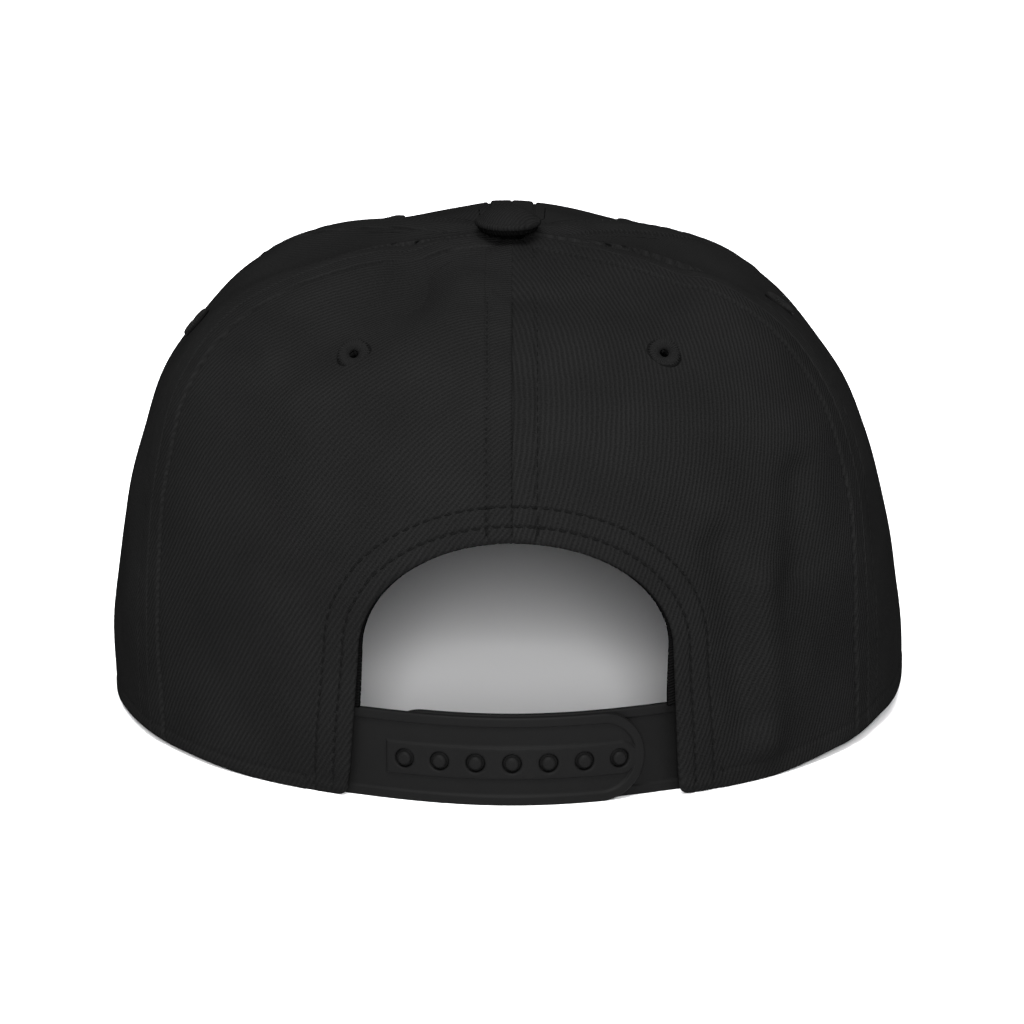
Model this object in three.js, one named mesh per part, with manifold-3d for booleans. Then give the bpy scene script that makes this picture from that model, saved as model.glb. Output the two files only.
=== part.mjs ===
import * as THREE from 'three';
import { mergeVertices } from 'three/addons/utils/BufferGeometryUtils.js';
import Module from 'manifold-3d';

// Snapback cap, at rest on a surface. Units are mm, +Z is up, +Y is the back of the head,
// and +X is the wearer's left. The rim of the back rests at z = 0.
// A turn is measured round the head, from the back (+Y) toward +X, about the button. The pieces are
// made about the button and then moved, so that the origin is below the middle of the whole cap.

const wasm = await Module();
wasm.setup();

// Sizes of the crown
const LEFT_HALF_WIDTH = 88.6;
const RIGHT_HALF_WIDTH = 87.4;
const BACK_LENGTH = 81;
const FRONT_LENGTH = 104;
const CROWN_HEIGHT = 105;
const CLOTH = 1.3;
const FRONT_CLOTH = 1.8;
const GAP = 0.3;
const BUTTON_HOLE_RADIUS = 3;
const SAG_SHARE = 0.25;

// The crown's profile, rim to button: shares of the half size and of the height, toward the back,
// the left, the right and the front; how much flatter each panel is than the round (SAG_SHARE is the part
// of that which its height loses); and the turns of the seams between back and side panels and
// between side and front panels.
const PROFILE_COLUMNS = ['backReach', 'backHeight', 'leftReach', 'leftHeight', 'rightReach',
  'rightHeight', 'frontReach', 'frontHeight', 'flat', 'backSeam', 'frontSeam'];
const PROFILE = [
  [1.000, 0.000, 1.000, 0.000, 1.000, 0.000, 1.000, 0.000, 0.000, 62, 121],
  [1.000, 0.180, 0.999, 0.190, 0.985, 0.180, 0.990, 0.190, 0.000, 63, 121],
  [0.990, 0.360, 0.975, 0.380, 0.956, 0.360, 0.965, 0.380, 0.005, 65, 121],
  [0.945, 0.540, 0.930, 0.560, 0.908, 0.540, 0.920, 0.570, 0.010, 68, 122],
  [0.855, 0.710, 0.855, 0.730, 0.815, 0.710, 0.835, 0.750, 0.020, 71, 123],
  [0.680, 0.850, 0.695, 0.875, 0.658, 0.852, 0.650, 0.885, 0.040, 73, 124],
  [0.380, 0.955, 0.400, 0.958, 0.380, 0.948, 0.350, 0.966, 0.055, 75, 124],
  [0.000, 1.000, 0.000, 1.000, 0.000, 1.000, 0.000, 1.000, 0.000, 75, 124],
];

// Height of the rim above the surface, as a share of its height on the peak's corners, by turn:
// it rests at the back, is lifted by the peak's corners and rises over the front with the peak.
const LIFT_COLUMNS = ['turn', 'left', 'right'];
const LIFTS = [
  [0, 0.00, 0.00],
  [38, 0.00, 0.00],
  [55, 0.16, 0.32],
  [70, 0.25, 0.68],
  [90, 0.14, 0.95],
  [105, 0.55, 1.04],
];

// Folds of the cloth as seen from behind: a line from (x1, z1) to (x2, z2), its half width and
// how far the cloth sinks there, x as a share of the half width and the rest of the crown's height.
// A negative depth is a ridge.
const FOLD_COLUMNS = ['x1', 'z1', 'x2', 'z2', 'width', 'depth'];
const FOLDS = [
  [0.53, 0.840, 0.25, 0.935, 0.043, 0.010],
  [0.25, 0.935, 0.00, 0.967, 0.038, 0.011],
  [0.00, 0.967, -0.42, 0.925, 0.038, 0.010],
  [0.50, 0.745, 0.14, 0.915, 0.057, -0.009],
  [-0.50, 0.495, -0.58, 0.140, 0.043, 0.009],
  [-0.60, 0.400, -0.62, 0.080, 0.038, -0.010],
  [-0.69, 0.590, -0.695, 0.420, 0.038, 0.008],
];

// Arch in the back: straight legs leaning in, then half an oval. The halves are the distances from
// the middle to a leg's foot and top, and the tape shows past the edge of each leg by this much.
const ARCH_LEFT = { footHalf: 34.8, legHalf: 32.4, tapeShows: 0.9 };
const ARCH_RIGHT = { footHalf: 35.5, legHalf: 34.1, tapeShows: 1.5 };
const ARCH_LEG_HEIGHT = 32;
const ARCH_HEIGHT = 56.5;
const ARCH_TAPE_WIDTH = 11;
const ARCH_TAPE_THICK = 0.75;

// Peak: a stiff board, arched a little across, whose outline is half of this table.
const PEAK_HALF_WIDTH = 88.6;
const PEAK_REACH = 70;
const PEAK_THICK = 3;
const PEAK_RISE = 5;
const PEAK_TURN = 118;
const PEAK_TUCK = 1.5;
const PEAK_CORNER_CLEAR = 1.5;
const PEAK_COLUMNS = ['across', 'forward'];
const PEAK_OUTLINE = [
  [0.900, 0.000],
  [0.968, 0.130],
  [1.000, 0.290],
  [0.975, 0.470],
  [0.880, 0.670],
  [0.680, 0.850],
  [0.370, 0.965],
  [0.000, 1.000],
];

// Sweatband inside the rim
const BAND_HEIGHT = 32;
const BAND_THICK = 1.2;
const BAND_FOOT = 0.8;
const BAND_SETBACK = 4;
const BAND_EASE = 20;
const BAND_CLEAR = 0.4;

// Strap: two flexible plates, one with holes over one with pegs
const STRAP_HEIGHT = 19.5;
const STRAP_THICK = 1.6;
const STRAP_BORDER = 2;
const STRAP_RELIEF = 0.45;
const STRAP_TUCK = 10.5;
const STRAP_DEPTH_MID = 0.5;
const STRAP_CLEAR = 0.6;
const OUTER_BEYOND = 5.8;
const INNER_BEYOND = 6.2;
const PEGS = 7;
const PEG_PITCH = 7.75;
const PEG_RADIUS = 1.4;
const PEG_STANDS = 0.4;
const HOLE_RADIUS = 2;
const TRACK_HEIGHT = 7;
const TRACK_MARGIN = 4;
const TRACK_DROP = 0.4;

// Button and eyelets
const BUTTON_RADIUS = 7.5;
const BUTTON_RISE = 4.4;
const EYELET_RADIUS = 3.5;
const EYELET_THICK = 0.7;
const EYELET_TUBE = 1.7;
const EYELET_BORE = 1.1;
const EYELETS = {
  back_left: { sign: 1, row: 'back', share: 0.47, up: 0.700 },
  back_right: { sign: -1, row: 'back', share: 0.48, up: 0.705 },
  side_left: { sign: 1, row: 'side', share: 0.41, up: 0.625 },
  side_right: { sign: -1, row: 'side', share: 0.36, up: 0.690 },
  front_left: { sign: 1, row: 'front', share: 0.50, up: 0.690 },
  front_right: { sign: -1, row: 'front', share: 0.50, up: 0.690 },
};

const radians = (degrees) => degrees * Math.PI / 180;
const mix = (a, b, share) => a + (b - a) * share;
const clamp = (value, low, high) => Math.min(high, Math.max(low, value));
const smooth = (value) => {
  const share = clamp(value, 0, 1);
  return share * share * (3 - 2 * share);
};

function named(row, columns) {
  return Object.fromEntries(columns.map((name, c) => [name, row[c]]));
}

function spline(rows, columns, share) {
  // Catmull-Rom curve through the rows of a table, the ends mirrored
  const last = rows.length - 1;
  const place = clamp(share, 0, 1) * last;
  const i = Math.min(Math.floor(place), last - 1);
  const f = place - i;
  const result = {};
  columns.forEach((name, c) => {
    const b = rows[i][c];
    const d = rows[i + 1][c];
    const a = i > 0 ? rows[i - 1][c] : 2 * b - d;
    const e = i + 2 <= last ? rows[i + 2][c] : 2 * d - b;
    result[name] = 0.5 * (2 * b + (d - a) * f + (2 * a - 5 * b + 4 * d - e) * f * f
      + (3 * b - a - 3 * d + e) * f * f * f);
  });
  return result;
}

function peakTop(x) {
  const across = x / PEAK_HALF_WIDTH;
  return PEAK_THICK + PEAK_RISE * (1 - across * across);
}

function sideHalf(side) {
  // Half width of the left side (a side above 0) or the right
  return side > 0 ? LEFT_HALF_WIDTH : RIGHT_HALF_WIDTH;
}

function halfWidth(turn) {
  return sideHalf(Math.sin(turn));
}

function rimHeight(turn) {
  // Height of the rim: the table up to the peak's corner, then the top of the peak
  const round = ((turn % (2 * Math.PI)) + 2 * Math.PI) % (2 * Math.PI);
  const side = round < Math.PI ? 'left' : 'right';
  const folded = (side === 'left' ? round : 2 * Math.PI - round) * 180 / Math.PI;
  const c = LIFT_COLUMNS.indexOf(side);
  const corner = peakTop(halfWidth(turn) * Math.sin(radians(PEAK_TURN))) + GAP;
  if (folded >= PEAK_TURN) return peakTop(halfWidth(turn) * Math.sin(turn)) + GAP;
  let low = LIFTS[0];
  let high = [PEAK_TURN, 1, 1];
  for (const row of LIFTS) {
    if (row[0] <= folded) low = row;
  }
  for (let i = LIFTS.length - 1; i >= 0; i -= 1) {
    if (LIFTS[i][0] > folded) high = LIFTS[i];
  }
  return corner * mix(low[c], high[c], smooth((folded - low[0]) / (high[0] - low[0])));
}

function panelShare(turn, backSeam, frontSeam) {
  // How far across its own panel a turn lies, 0 at one seam and 1 at the next
  const round = ((turn % (2 * Math.PI)) + 2 * Math.PI) % (2 * Math.PI);
  const folded = round > Math.PI ? 2 * Math.PI - round : round;
  if (folded < backSeam) return folded / backSeam;
  if (folded < frontSeam) return (folded - backSeam) / (frontSeam - backSeam);
  return (folded - frontSeam) / (Math.PI - frontSeam);
}

function foldDepth(x, z) {
  const half = (LEFT_HALF_WIDTH + RIGHT_HALF_WIDTH) / 2;
  let depth = 0;
  for (const row of FOLDS) {
    const fold = named(row, FOLD_COLUMNS);
    const fromX = fold.x1 * half;
    const fromZ = fold.z1 * CROWN_HEIGHT;
    const overX = fold.x2 * half - fromX;
    const overZ = fold.z2 * CROWN_HEIGHT - fromZ;
    const along = clamp(((x - fromX) * overX + (z - fromZ) * overZ) / (overX ** 2 + overZ ** 2), 0, 1);
    const away = Math.hypot(x - fromX - overX * along, z - fromZ - overZ * along);
    depth += fold.depth * CROWN_HEIGHT * Math.exp(-((away / (fold.width * CROWN_HEIGHT)) ** 2));
  }
  return depth;
}

function crown(turn, up) {
  // Outer face of the crown: turn round the head, up from 0 at the rim to 1 at the button
  const row = spline(PROFILE, PROFILE_COLUMNS, up);
  const s = Math.sin(turn);
  const c = Math.cos(turn);
  const side = s > 0 ? 'left' : 'right';
  const end = c > 0 ? 'back' : 'front';
  const share = panelShare(turn, radians(row.backSeam), radians(row.frontSeam));
  const slack = row.flat * Math.sin(Math.PI * share) ** 2;
  const reach = (row[`${side}Reach`] * s * s + row[`${end}Reach`] * c * c) * (1 - slack);
  const high = (row[`${side}Height`] * s * s + row[`${end}Height`] * c * c) * (1 - SAG_SHARE * slack);
  const rim = rimHeight(turn);
  const x = halfWidth(turn) * s * reach;
  const y = (c > 0 ? BACK_LENGTH : FRONT_LENGTH) * c * reach;
  const z = mix(rim, CROWN_HEIGHT, high);
  if (c <= 0) return new THREE.Vector3(x, y, z);
  const sink = foldDepth(x, z) * smooth(c * 3) * smooth((1 - up) * 12);
  const slope = smooth((up - 0.6) / 0.4);
  return new THREE.Vector3(x - sink * s * (1 - slope), y - sink * c * (1 - slope), z - sink * slope);
}

function normal(turn, up) {
  const step = 0.004;
  const u = clamp(up, step, 1 - 2 * step);
  const round = crown(turn + step, u).sub(crown(turn - step, u));
  const rise = crown(turn, u + step).sub(crown(turn, u - step));
  return rise.cross(round).normalize();
}

function inside(turn, up, depth) {
  // A point this deep behind the outer face; along the rim it stays level
  const point = crown(turn, up);
  const out = normal(turn, up);
  if (up === 0) {
    out.z = 0;
    out.normalize();
  }
  return point.addScaledVector(out, -depth);
}

function sheet(columns, rows, place, thickness) {
  // Closed sheet: an outer and an inner grid of points joined round their edges
  const positions = [];
  const index = [];
  const width = columns + 1;
  const layer = width * (rows + 1);
  for (let k = 0; k < 2; k += 1) {
    for (let j = 0; j <= rows; j += 1) {
      for (let i = 0; i <= columns; i += 1) {
        const point = place(i / columns, j / rows, k * thickness);
        positions.push(point.x, point.y, point.z);
      }
    }
  }
  const quad = (a, b, c, d) => index.push(a, b, c, a, c, d);
  for (let j = 0; j < rows; j += 1) {
    for (let i = 0; i < columns; i += 1) {
      const a = j * width + i;
      quad(a, a + 1, a + width + 1, a + width);
      quad(layer + a, layer + a + width, layer + a + width + 1, layer + a + 1);
    }
  }
  for (let i = 0; i < columns; i += 1) {
    const top = rows * width + i;
    quad(i, layer + i, layer + i + 1, i + 1);
    quad(top, top + 1, layer + top + 1, layer + top);
  }
  for (let j = 0; j < rows; j += 1) {
    const a = j * width;
    const b = a + columns;
    quad(a, a + width, layer + a + width, layer + a);
    quad(b, layer + b, layer + b + width, b + width);
  }
  const geometry = new THREE.BufferGeometry();
  geometry.setAttribute('position', new THREE.Float32BufferAttribute(positions, 3));
  geometry.setIndex(index);
  return outward(mergeVertices(geometry, 1e-4));
}

function volume(geometry) {
  const p = geometry.attributes.position;
  const n = geometry.index;
  const a = new THREE.Vector3();
  const b = new THREE.Vector3();
  const c = new THREE.Vector3();
  let total = 0;
  for (let i = 0; i < n.count; i += 3) {
    a.fromBufferAttribute(p, n.getX(i));
    b.fromBufferAttribute(p, n.getX(i + 1));
    c.fromBufferAttribute(p, n.getX(i + 2));
    total += a.dot(b.cross(c)) / 6;
  }
  return total;
}

function outward(geometry) {
  // Turn every face round if the solid came out inside out
  if (volume(geometry) > 0) return geometry;
  const n = geometry.index;
  for (let i = 0; i < n.count; i += 3) {
    const b = n.getX(i + 1);
    n.setX(i + 1, n.getX(i + 2));
    n.setX(i + 2, b);
  }
  return geometry;
}

function solid(geometry) {
  const bare = geometry.clone();
  bare.deleteAttribute('normal');
  bare.deleteAttribute('uv');
  const merged = mergeVertices(bare, 1e-4);
  return new wasm.Manifold(new wasm.Mesh({
    numProp: 3,
    vertProperties: new Float32Array(merged.attributes.position.array),
    triVerts: new Uint32Array(merged.index.array),
  }));
}

function fromSolid(body) {
  const mesh = body.getMesh();
  const geometry = new THREE.BufferGeometry();
  geometry.setAttribute('position', new THREE.Float32BufferAttribute(mesh.vertProperties, 3));
  geometry.setIndex(Array.from(mesh.triVerts));
  return geometry;
}

function along(geometry, origin, axis) {
  // Move a geometry made round +Z so that it stands at a point along an axis
  const turned = geometry.clone();
  turned.applyQuaternion(new THREE.Quaternion().setFromUnitVectors(new THREE.Vector3(0, 0, 1), axis));
  turned.translate(origin.x, origin.y, origin.z);
  return turned;
}

function lathe(profile, segments) {
  const points = profile.map(([r, z]) => new THREE.Vector2(r, z));
  const geometry = new THREE.LatheGeometry(points, segments);
  geometry.rotateX(Math.PI / 2);
  geometry.deleteAttribute('normal');
  geometry.deleteAttribute('uv');
  return outward(mergeVertices(geometry, 1e-4));
}

function column(radius, low, high, segments = 20) {
  return lathe([[0, low], [radius, low], [radius, high], [0, high]], segments);
}

// The arch's edge as seen from behind, from the foot (0) to the crown of the arch (1)
const LEG_SHARE = 0.4;

function archSide(side) {
  return side > 0 ? ARCH_LEFT : ARCH_RIGHT;
}

function archEdge(share, side) {
  const { footHalf, legHalf } = archSide(side);
  if (share < LEG_SHARE) {
    const up = share / LEG_SHARE;
    return [mix(footHalf, legHalf, up), ARCH_LEG_HEIGHT * up];
  }
  const angle = (share - LEG_SHARE) / (1 - LEG_SHARE) * Math.PI / 2;
  return [legHalf * Math.cos(angle),
    ARCH_LEG_HEIGHT + (ARCH_HEIGHT - ARCH_LEG_HEIGHT) * Math.sin(angle)];
}

function findOnCrown(x, z) {
  // Turn and up of the point of the crown's back that is seen at (x, z)
  let turn = 0;
  let up = 0;
  for (let round = 0; round < 12; round += 1) {
    let low = 0;
    let high = 0.95;
    for (let i = 0; i < 26; i += 1) {
      up = (low + high) / 2;
      if (crown(turn, up).z < z) low = up;
      else high = up;
    }
    if (z <= 0) up = 0;
    let left = -radians(80);
    let right = radians(80);
    for (let i = 0; i < 26; i += 1) {
      turn = (left + right) / 2;
      if (crown(turn, up).x < x) left = turn;
      else right = turn;
    }
  }
  return [turn, up];
}

function upAt(turn, z) {
  let low = 0;
  let high = 0.9;
  for (let i = 0; i < 26; i += 1) {
    const middle = (low + high) / 2;
    if (crown(turn, middle).z < z) low = middle;
    else high = middle;
  }
  return (low + high) / 2;
}

function seamTurns(up) {
  const row = spline(PROFILE, PROFILE_COLUMNS, up);
  return { back: radians(row.backSeam), front: radians(row.frontSeam) };
}

function topOfPanels(turn) {
  // Where the panels end, just outside the button's stem
  let low = 0.9;
  let high = 1;
  for (let i = 0; i < 24; i += 1) {
    const middle = (low + high) / 2;
    const point = crown(turn, middle);
    if (Math.hypot(point.x, point.y) > BUTTON_HOLE_RADIUS) low = middle;
    else high = middle;
  }
  return low;
}

function insetTurn(share, from, to, up, middleTurn) {
  // A turn across a panel, kept half a gap away from the seams at both sides
  const point = crown(middleTurn, up);
  const radius = Math.hypot(point.x, point.y);
  const half = Math.min(GAP / 2 / radius * 1.15, (to - from) * 0.2);
  return mix(from + half, to - half, share);
}

function sidePanel(sign) {
  const place = (u, v, depth) => {
    const top = topOfPanels(sign * radians(97));
    const up = top * v;
    const seams = seamTurns(up);
    const turn = sign * insetTurn(u, seams.back, seams.front, up, sign * radians(97));
    return inside(turn, up, depth);
  };
  return sheet(10, 14, place, CLOTH);
}

function frontPanel(sign) {
  const place = (u, v, depth) => {
    const top = topOfPanels(sign * radians(150));
    const up = top * v;
    const seams = seamTurns(up);
    const turn = sign * insetTurn(u, seams.front, Math.PI, up, sign * radians(150));
    return inside(turn, up, depth);
  };
  return sheet(11, 14, place, FRONT_CLOTH);
}

const ARCH_COLUMNS = 11;
const BACK_COLUMNS = 16;

function backPanel(sign) {
  const foot = [];
  for (let i = 0; i <= ARCH_COLUMNS; i += 1) {
    const [x, z] = archEdge(1 - i / ARCH_COLUMNS, sign);
    const [turn, up] = findOnCrown(sign * Math.max(x, GAP / 2), z);
    foot.push([i === 0 ? 0 : Math.abs(turn) / seamTurns(up).back, up]);
  }
  const corner = foot[ARCH_COLUMNS][0];
  for (let i = ARCH_COLUMNS + 1; i <= BACK_COLUMNS; i += 1) {
    foot.push([mix(corner, 1, (i - ARCH_COLUMNS) / (BACK_COLUMNS - ARCH_COLUMNS)), 0]);
  }
  const top = topOfPanels(sign * radians(35));
  const place = (u, v, depth) => {
    const [share, low] = foot[Math.round(u * BACK_COLUMNS)];
    const up = mix(low, top, v);
    const across = mix(share, mix(u, share, 0.35), v);
    const seam = seamTurns(up).back;
    const turn = sign * insetTurn(clamp(across, 0, 1), 0, seam, up, sign * radians(35));
    return inside(turn, up, depth);
  };
  return sheet(BACK_COLUMNS, 14, place, CLOTH);
}

function eyeletPlace({ sign, row, share, up }) {
  const seams = seamTurns(up);
  const spans = { back: [0, seams.back], side: [seams.back, seams.front], front: [seams.front, Math.PI] };
  const turn = sign * mix(...spans[row], share);
  return [crown(turn, up), normal(turn, up)];
}

function pierced(panel, spot) {
  const [point, axis] = eyeletPlace(spot);
  const hole = along(column(EYELET_TUBE + GAP, -3 * FRONT_CLOTH, 2 * FRONT_CLOTH, 12), point, axis);
  return fromSolid(solid(panel).subtract(solid(hole)));
}

function eyelet(spot) {
  const [point, axis] = eyeletPlace(spot);
  const inner = -(spot.row === 'front' ? FRONT_CLOTH : CLOTH) - GAP;
  const middle = (EYELET_RADIUS + EYELET_BORE) / 2;
  const ring = lathe([[EYELET_BORE, inner], [EYELET_TUBE, inner], [EYELET_TUBE, GAP],
    [EYELET_RADIUS, GAP], [EYELET_RADIUS * 0.94, GAP + EYELET_THICK * 0.7],
    [middle, GAP + EYELET_THICK], [EYELET_BORE, GAP + EYELET_THICK * 0.6],
    [EYELET_BORE, inner]], 14);
  return along(ring, point, axis);
}

function button() {
  const low = CROWN_HEIGHT + GAP;
  const stem = BUTTON_HOLE_RADIUS - 2 * GAP;
  const under = CROWN_HEIGHT - FRONT_CLOTH - 2 * GAP;
  return lathe([
    [0, low + BUTTON_RISE],
    [BUTTON_RADIUS * 0.4, low + BUTTON_RISE * 0.96],
    [BUTTON_RADIUS * 0.72, low + BUTTON_RISE * 0.8],
    [BUTTON_RADIUS * 0.93, low + BUTTON_RISE * 0.5],
    [BUTTON_RADIUS, low + BUTTON_RISE * 0.25],
    [BUTTON_RADIUS * 0.94, low],
    [stem, low],
    [stem, under],
    [BUTTON_RADIUS * 0.6, under],
    [BUTTON_RADIUS * 0.5, under - CLOTH],
    [0, under - CLOTH],
  ], 28);
}

function peak() {
  const corner = crown(radians(PEAK_TURN), 0);
  const front = -FRONT_LENGTH - PEAK_REACH;
  const start = corner.y - PEAK_CORNER_CLEAR;
  const place = (u, v, depth) => {
    const side = 1 - 2 * u;
    const turn = Math.PI - side * (Math.PI - radians(PEAK_TURN));
    const inner = inside(turn, 0, PEAK_TUCK);
    const row = spline(PEAK_OUTLINE, PEAK_COLUMNS, 1 - Math.abs(side));
    const x = mix(inner.x, Math.sign(side) * row.across * PEAK_HALF_WIDTH, v);
    const y = mix(inner.y, mix(start, front, row.forward), v);
    return new THREE.Vector3(x, y, peakTop(x) - depth);
  };
  return sheet(30, 6, place, PEAK_THICK);
}

function footTurn(side, beyond) {
  // Turn of the rim this far beyond the arch's foot, on one side of the back
  return Math.asin((archSide(side).footHalf + beyond) / sideHalf(side));
}

function bandDepth(turn) {
  // The band lies behind the cloth, and deeper where the ends of the strap are sewn in
  const round = ((turn % (2 * Math.PI)) + 2 * Math.PI) % (2 * Math.PI);
  const left = round < Math.PI;
  const folded = left ? round : 2 * Math.PI - round;
  const side = left ? 1 : -1;
  const plates = left ? 1 : 2;
  const strap = CLOTH + STRAP_CLEAR + plates * (STRAP_THICK + GAP) + GAP;
  const plain = FRONT_CLOTH + BAND_CLEAR;
  const from = footTurn(side, STRAP_TUCK + BAND_SETBACK);
  const to = footTurn(side, STRAP_TUCK + BAND_SETBACK + BAND_EASE);
  return mix(strap, plain, smooth((folded - from) / (to - from)));
}

function sweatband() {
  const start = footTurn(1, BAND_SETBACK);
  const end = 2 * Math.PI - footTurn(-1, BAND_SETBACK);
  const place = (u, v, depth) => {
    const turn = mix(start, end, u);
    const z = rimHeight(turn) + mix(BAND_FOOT, BAND_HEIGHT, v);
    return inside(turn, upAt(turn, z), bandDepth(turn) + depth);
  };
  return sheet(52, 3, place, BAND_THICK);
}

function archTape() {
  const count = 32;
  const base = STRAP_HEIGHT + 4 * GAP;
  const place = (u, v, depth) => {
    const side = u < 0.5 ? 1 : -1;
    const low = LEG_SHARE * base / ARCH_LEG_HEIGHT;
    const share = mix(low, 1, 1 - Math.abs(1 - 2 * u));
    const [x, z] = archEdge(share, side);
    const [x2, z2] = archEdge(Math.min(share + 0.01, 1), side);
    const [x1, z1] = archEdge(share - 0.01, side);
    const length = Math.hypot(x2 - x1, z2 - z1);
    const outX = (z2 - z1) / length;
    const outZ = -(x2 - x1) / length;
    const fade = mix(ARCH_LEG_HEIGHT, ARCH_HEIGHT, 0.25) - z;
    const shows = archSide(side).tapeShows * smooth(fade / (ARCH_HEIGHT / 3));
    const away = mix(-shows, ARCH_TAPE_WIDTH, v);
    const lowEnd = Math.abs(1 - 2 * u) === 1;
    const px = u === 0.5 ? 0 : side * (x + outX * away);
    const pz = lowEnd ? z : z + outZ * away;
    const [turn, up] = findOnCrown(px, pz);
    return inside(turn, up, CLOTH + 2 * GAP + depth);
  };
  return sheet(count, 2, place, ARCH_TAPE_THICK);
}

function strapTurn(s) {
  // Turn of the rim at a distance s along it from the middle of the back
  let turn = 0;
  const steps = 24;
  const width = sideHalf(s);
  for (let i = 0; i < steps; i += 1) {
    const speed = Math.hypot(width * Math.cos(turn), BACK_LENGTH * Math.sin(turn));
    turn += s / steps / speed;
  }
  return turn;
}

function strapPoint(s, z, depth) {
  const turn = strapTurn(s);
  const width = sideHalf(s);
  const rim = new THREE.Vector3(width * Math.sin(turn), BACK_LENGTH * Math.cos(turn), z);
  const out = new THREE.Vector3(Math.sin(turn) / width, Math.cos(turn) / BACK_LENGTH, 0).normalize();
  const side = CLOTH + STRAP_CLEAR;
  const bow = mix(STRAP_DEPTH_MID, side, smooth(Math.abs(turn) / footTurn(s, 0)));
  return [rim.addScaledVector(out, -bow - depth), out];
}

function strapPlate(from, to, half, middle, near, far, round, count = 26) {
  // Bent plate between two distances along the strap; a round end has the half height as radius
  const eases = {
    from: (u) => 1 - Math.cos(Math.PI / 2 * u),
    to: (u) => Math.sin(Math.PI / 2 * u),
  };
  const place = (u, v, depth) => {
    const s = mix(from, to, eases[round](u));
    const end = round === 'from' ? (s - from) / half : (to - s) / half;
    const reach = half * Math.sqrt(1 - (1 - clamp(end, 0.04, 1)) ** 2);
    return strapPoint(s, middle + mix(-reach, reach, v), near + depth)[0];
  };
  return sheet(count, 2, place, far - near);
}

const LAST_PEG = (PEGS - 1) / 2 * PEG_PITCH;

function strapEnd(side) {
  // Distance along the strap from the middle of the back to its sewn end on one side
  return footTurn(side, 0) * sideHalf(side) + STRAP_TUCK;
}

function pegPlaces() {
  const height = STRAP_HEIGHT / 2 - TRACK_DROP;
  return Array.from({ length: PEGS }, (_, i) => strapPoint(i * PEG_PITCH - LAST_PEG, height, 0));
}

function strapOuter() {
  const middle = STRAP_HEIGHT / 2;
  const over = STRAP_THICK / 2;
  const start = -LAST_PEG - OUTER_BEYOND;
  const sewn = strapEnd(1);
  const body = solid(strapPlate(start, sewn, middle, middle, 0, STRAP_THICK, 'from'));
  const pocket = solid(strapPlate(start + STRAP_BORDER, sewn - STRAP_BORDER,
    middle - STRAP_BORDER, middle, -over, STRAP_RELIEF, 'from'));
  const end = LAST_PEG + TRACK_MARGIN;
  const track = solid(strapPlate(-end, end, TRACK_HEIGHT / 2, middle - TRACK_DROP, -2 * over,
    2 * STRAP_RELIEF, 'from', 18));
  let strap = body.subtract(pocket.subtract(track));
  for (const [point, out] of pegPlaces()) {
    const hole = column(HOLE_RADIUS, -2 * STRAP_THICK, STRAP_THICK, 14);
    strap = strap.subtract(solid(along(hole, point, out)));
  }
  return fromSolid(strap);
}

function strapInner() {
  const middle = STRAP_HEIGHT / 2;
  const near = STRAP_THICK + GAP;
  let strap = solid(strapPlate(-strapEnd(-1), LAST_PEG + INNER_BEYOND, middle, middle, near,
    near + STRAP_THICK, 'to'));
  for (const [point, out] of pegPlaces()) {
    const foot = -near - STRAP_THICK / 2;
    const peg = lathe([[0, foot], [PEG_RADIUS, foot], [PEG_RADIUS, PEG_STANDS / 3],
      [PEG_RADIUS * 0.7, PEG_STANDS], [0, PEG_STANDS]], 12);
    strap = strap.add(solid(along(peg, point, out)));
  }
  return fromSolid(strap);
}

const cap = new THREE.Group();
cap.name = 'snapback_cap';
const cloth = [0x1f2023, 0.95, 0];
const lining = [0x17181a, 0.95, 0];
const thread = [0x1d1e21, 0.8, 0];
const plastic = [0x222326, 0.5, 0];

// From the button back to the middle of the cap's length
const MIDDLE = (FRONT_LENGTH + PEAK_REACH - BACK_LENGTH) / 2;

function place(name, geometry, [colour, roughness, metalness]) {
  const flat = geometry.clone();
  flat.translate(0, MIDDLE, 0);
  flat.computeVertexNormals();
  const material = new THREE.MeshStandardMaterial({ color: colour, roughness, metalness });
  const mesh = new THREE.Mesh(flat, material);
  mesh.name = name;
  cap.add(mesh);
}

const PANELS = { front: frontPanel, side: sidePanel, back: backPanel };
for (const [name, spot] of Object.entries(EYELETS)) {
  const [row, side] = name.split('_');
  place(`${row}_panel_${side}`, pierced(PANELS[row](spot.sign), spot), cloth);
  place(`eyelet_${name}`, eyelet(spot), thread);
}
place('top_button', button(), cloth);
place('peak', peak(), cloth);
place('sweatband', sweatband(), lining);
place('arch_tape', archTape(), lining);
place('strap_outer', strapOuter(), plastic);
place('strap_inner', strapInner(), plastic);

export default cap;
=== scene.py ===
# %% [markdown]
# # A snapback cap, seen from behind
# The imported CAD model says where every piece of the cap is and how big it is. This notebook
# dresses it: twill cloth with its seams and stitches, a moulded strap, soft light and a camera.
# The shapes are worked out in millimetres about the axis through the button, with z up from the
# surface the cap stands on, and turned to metres in one place.

import math

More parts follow.
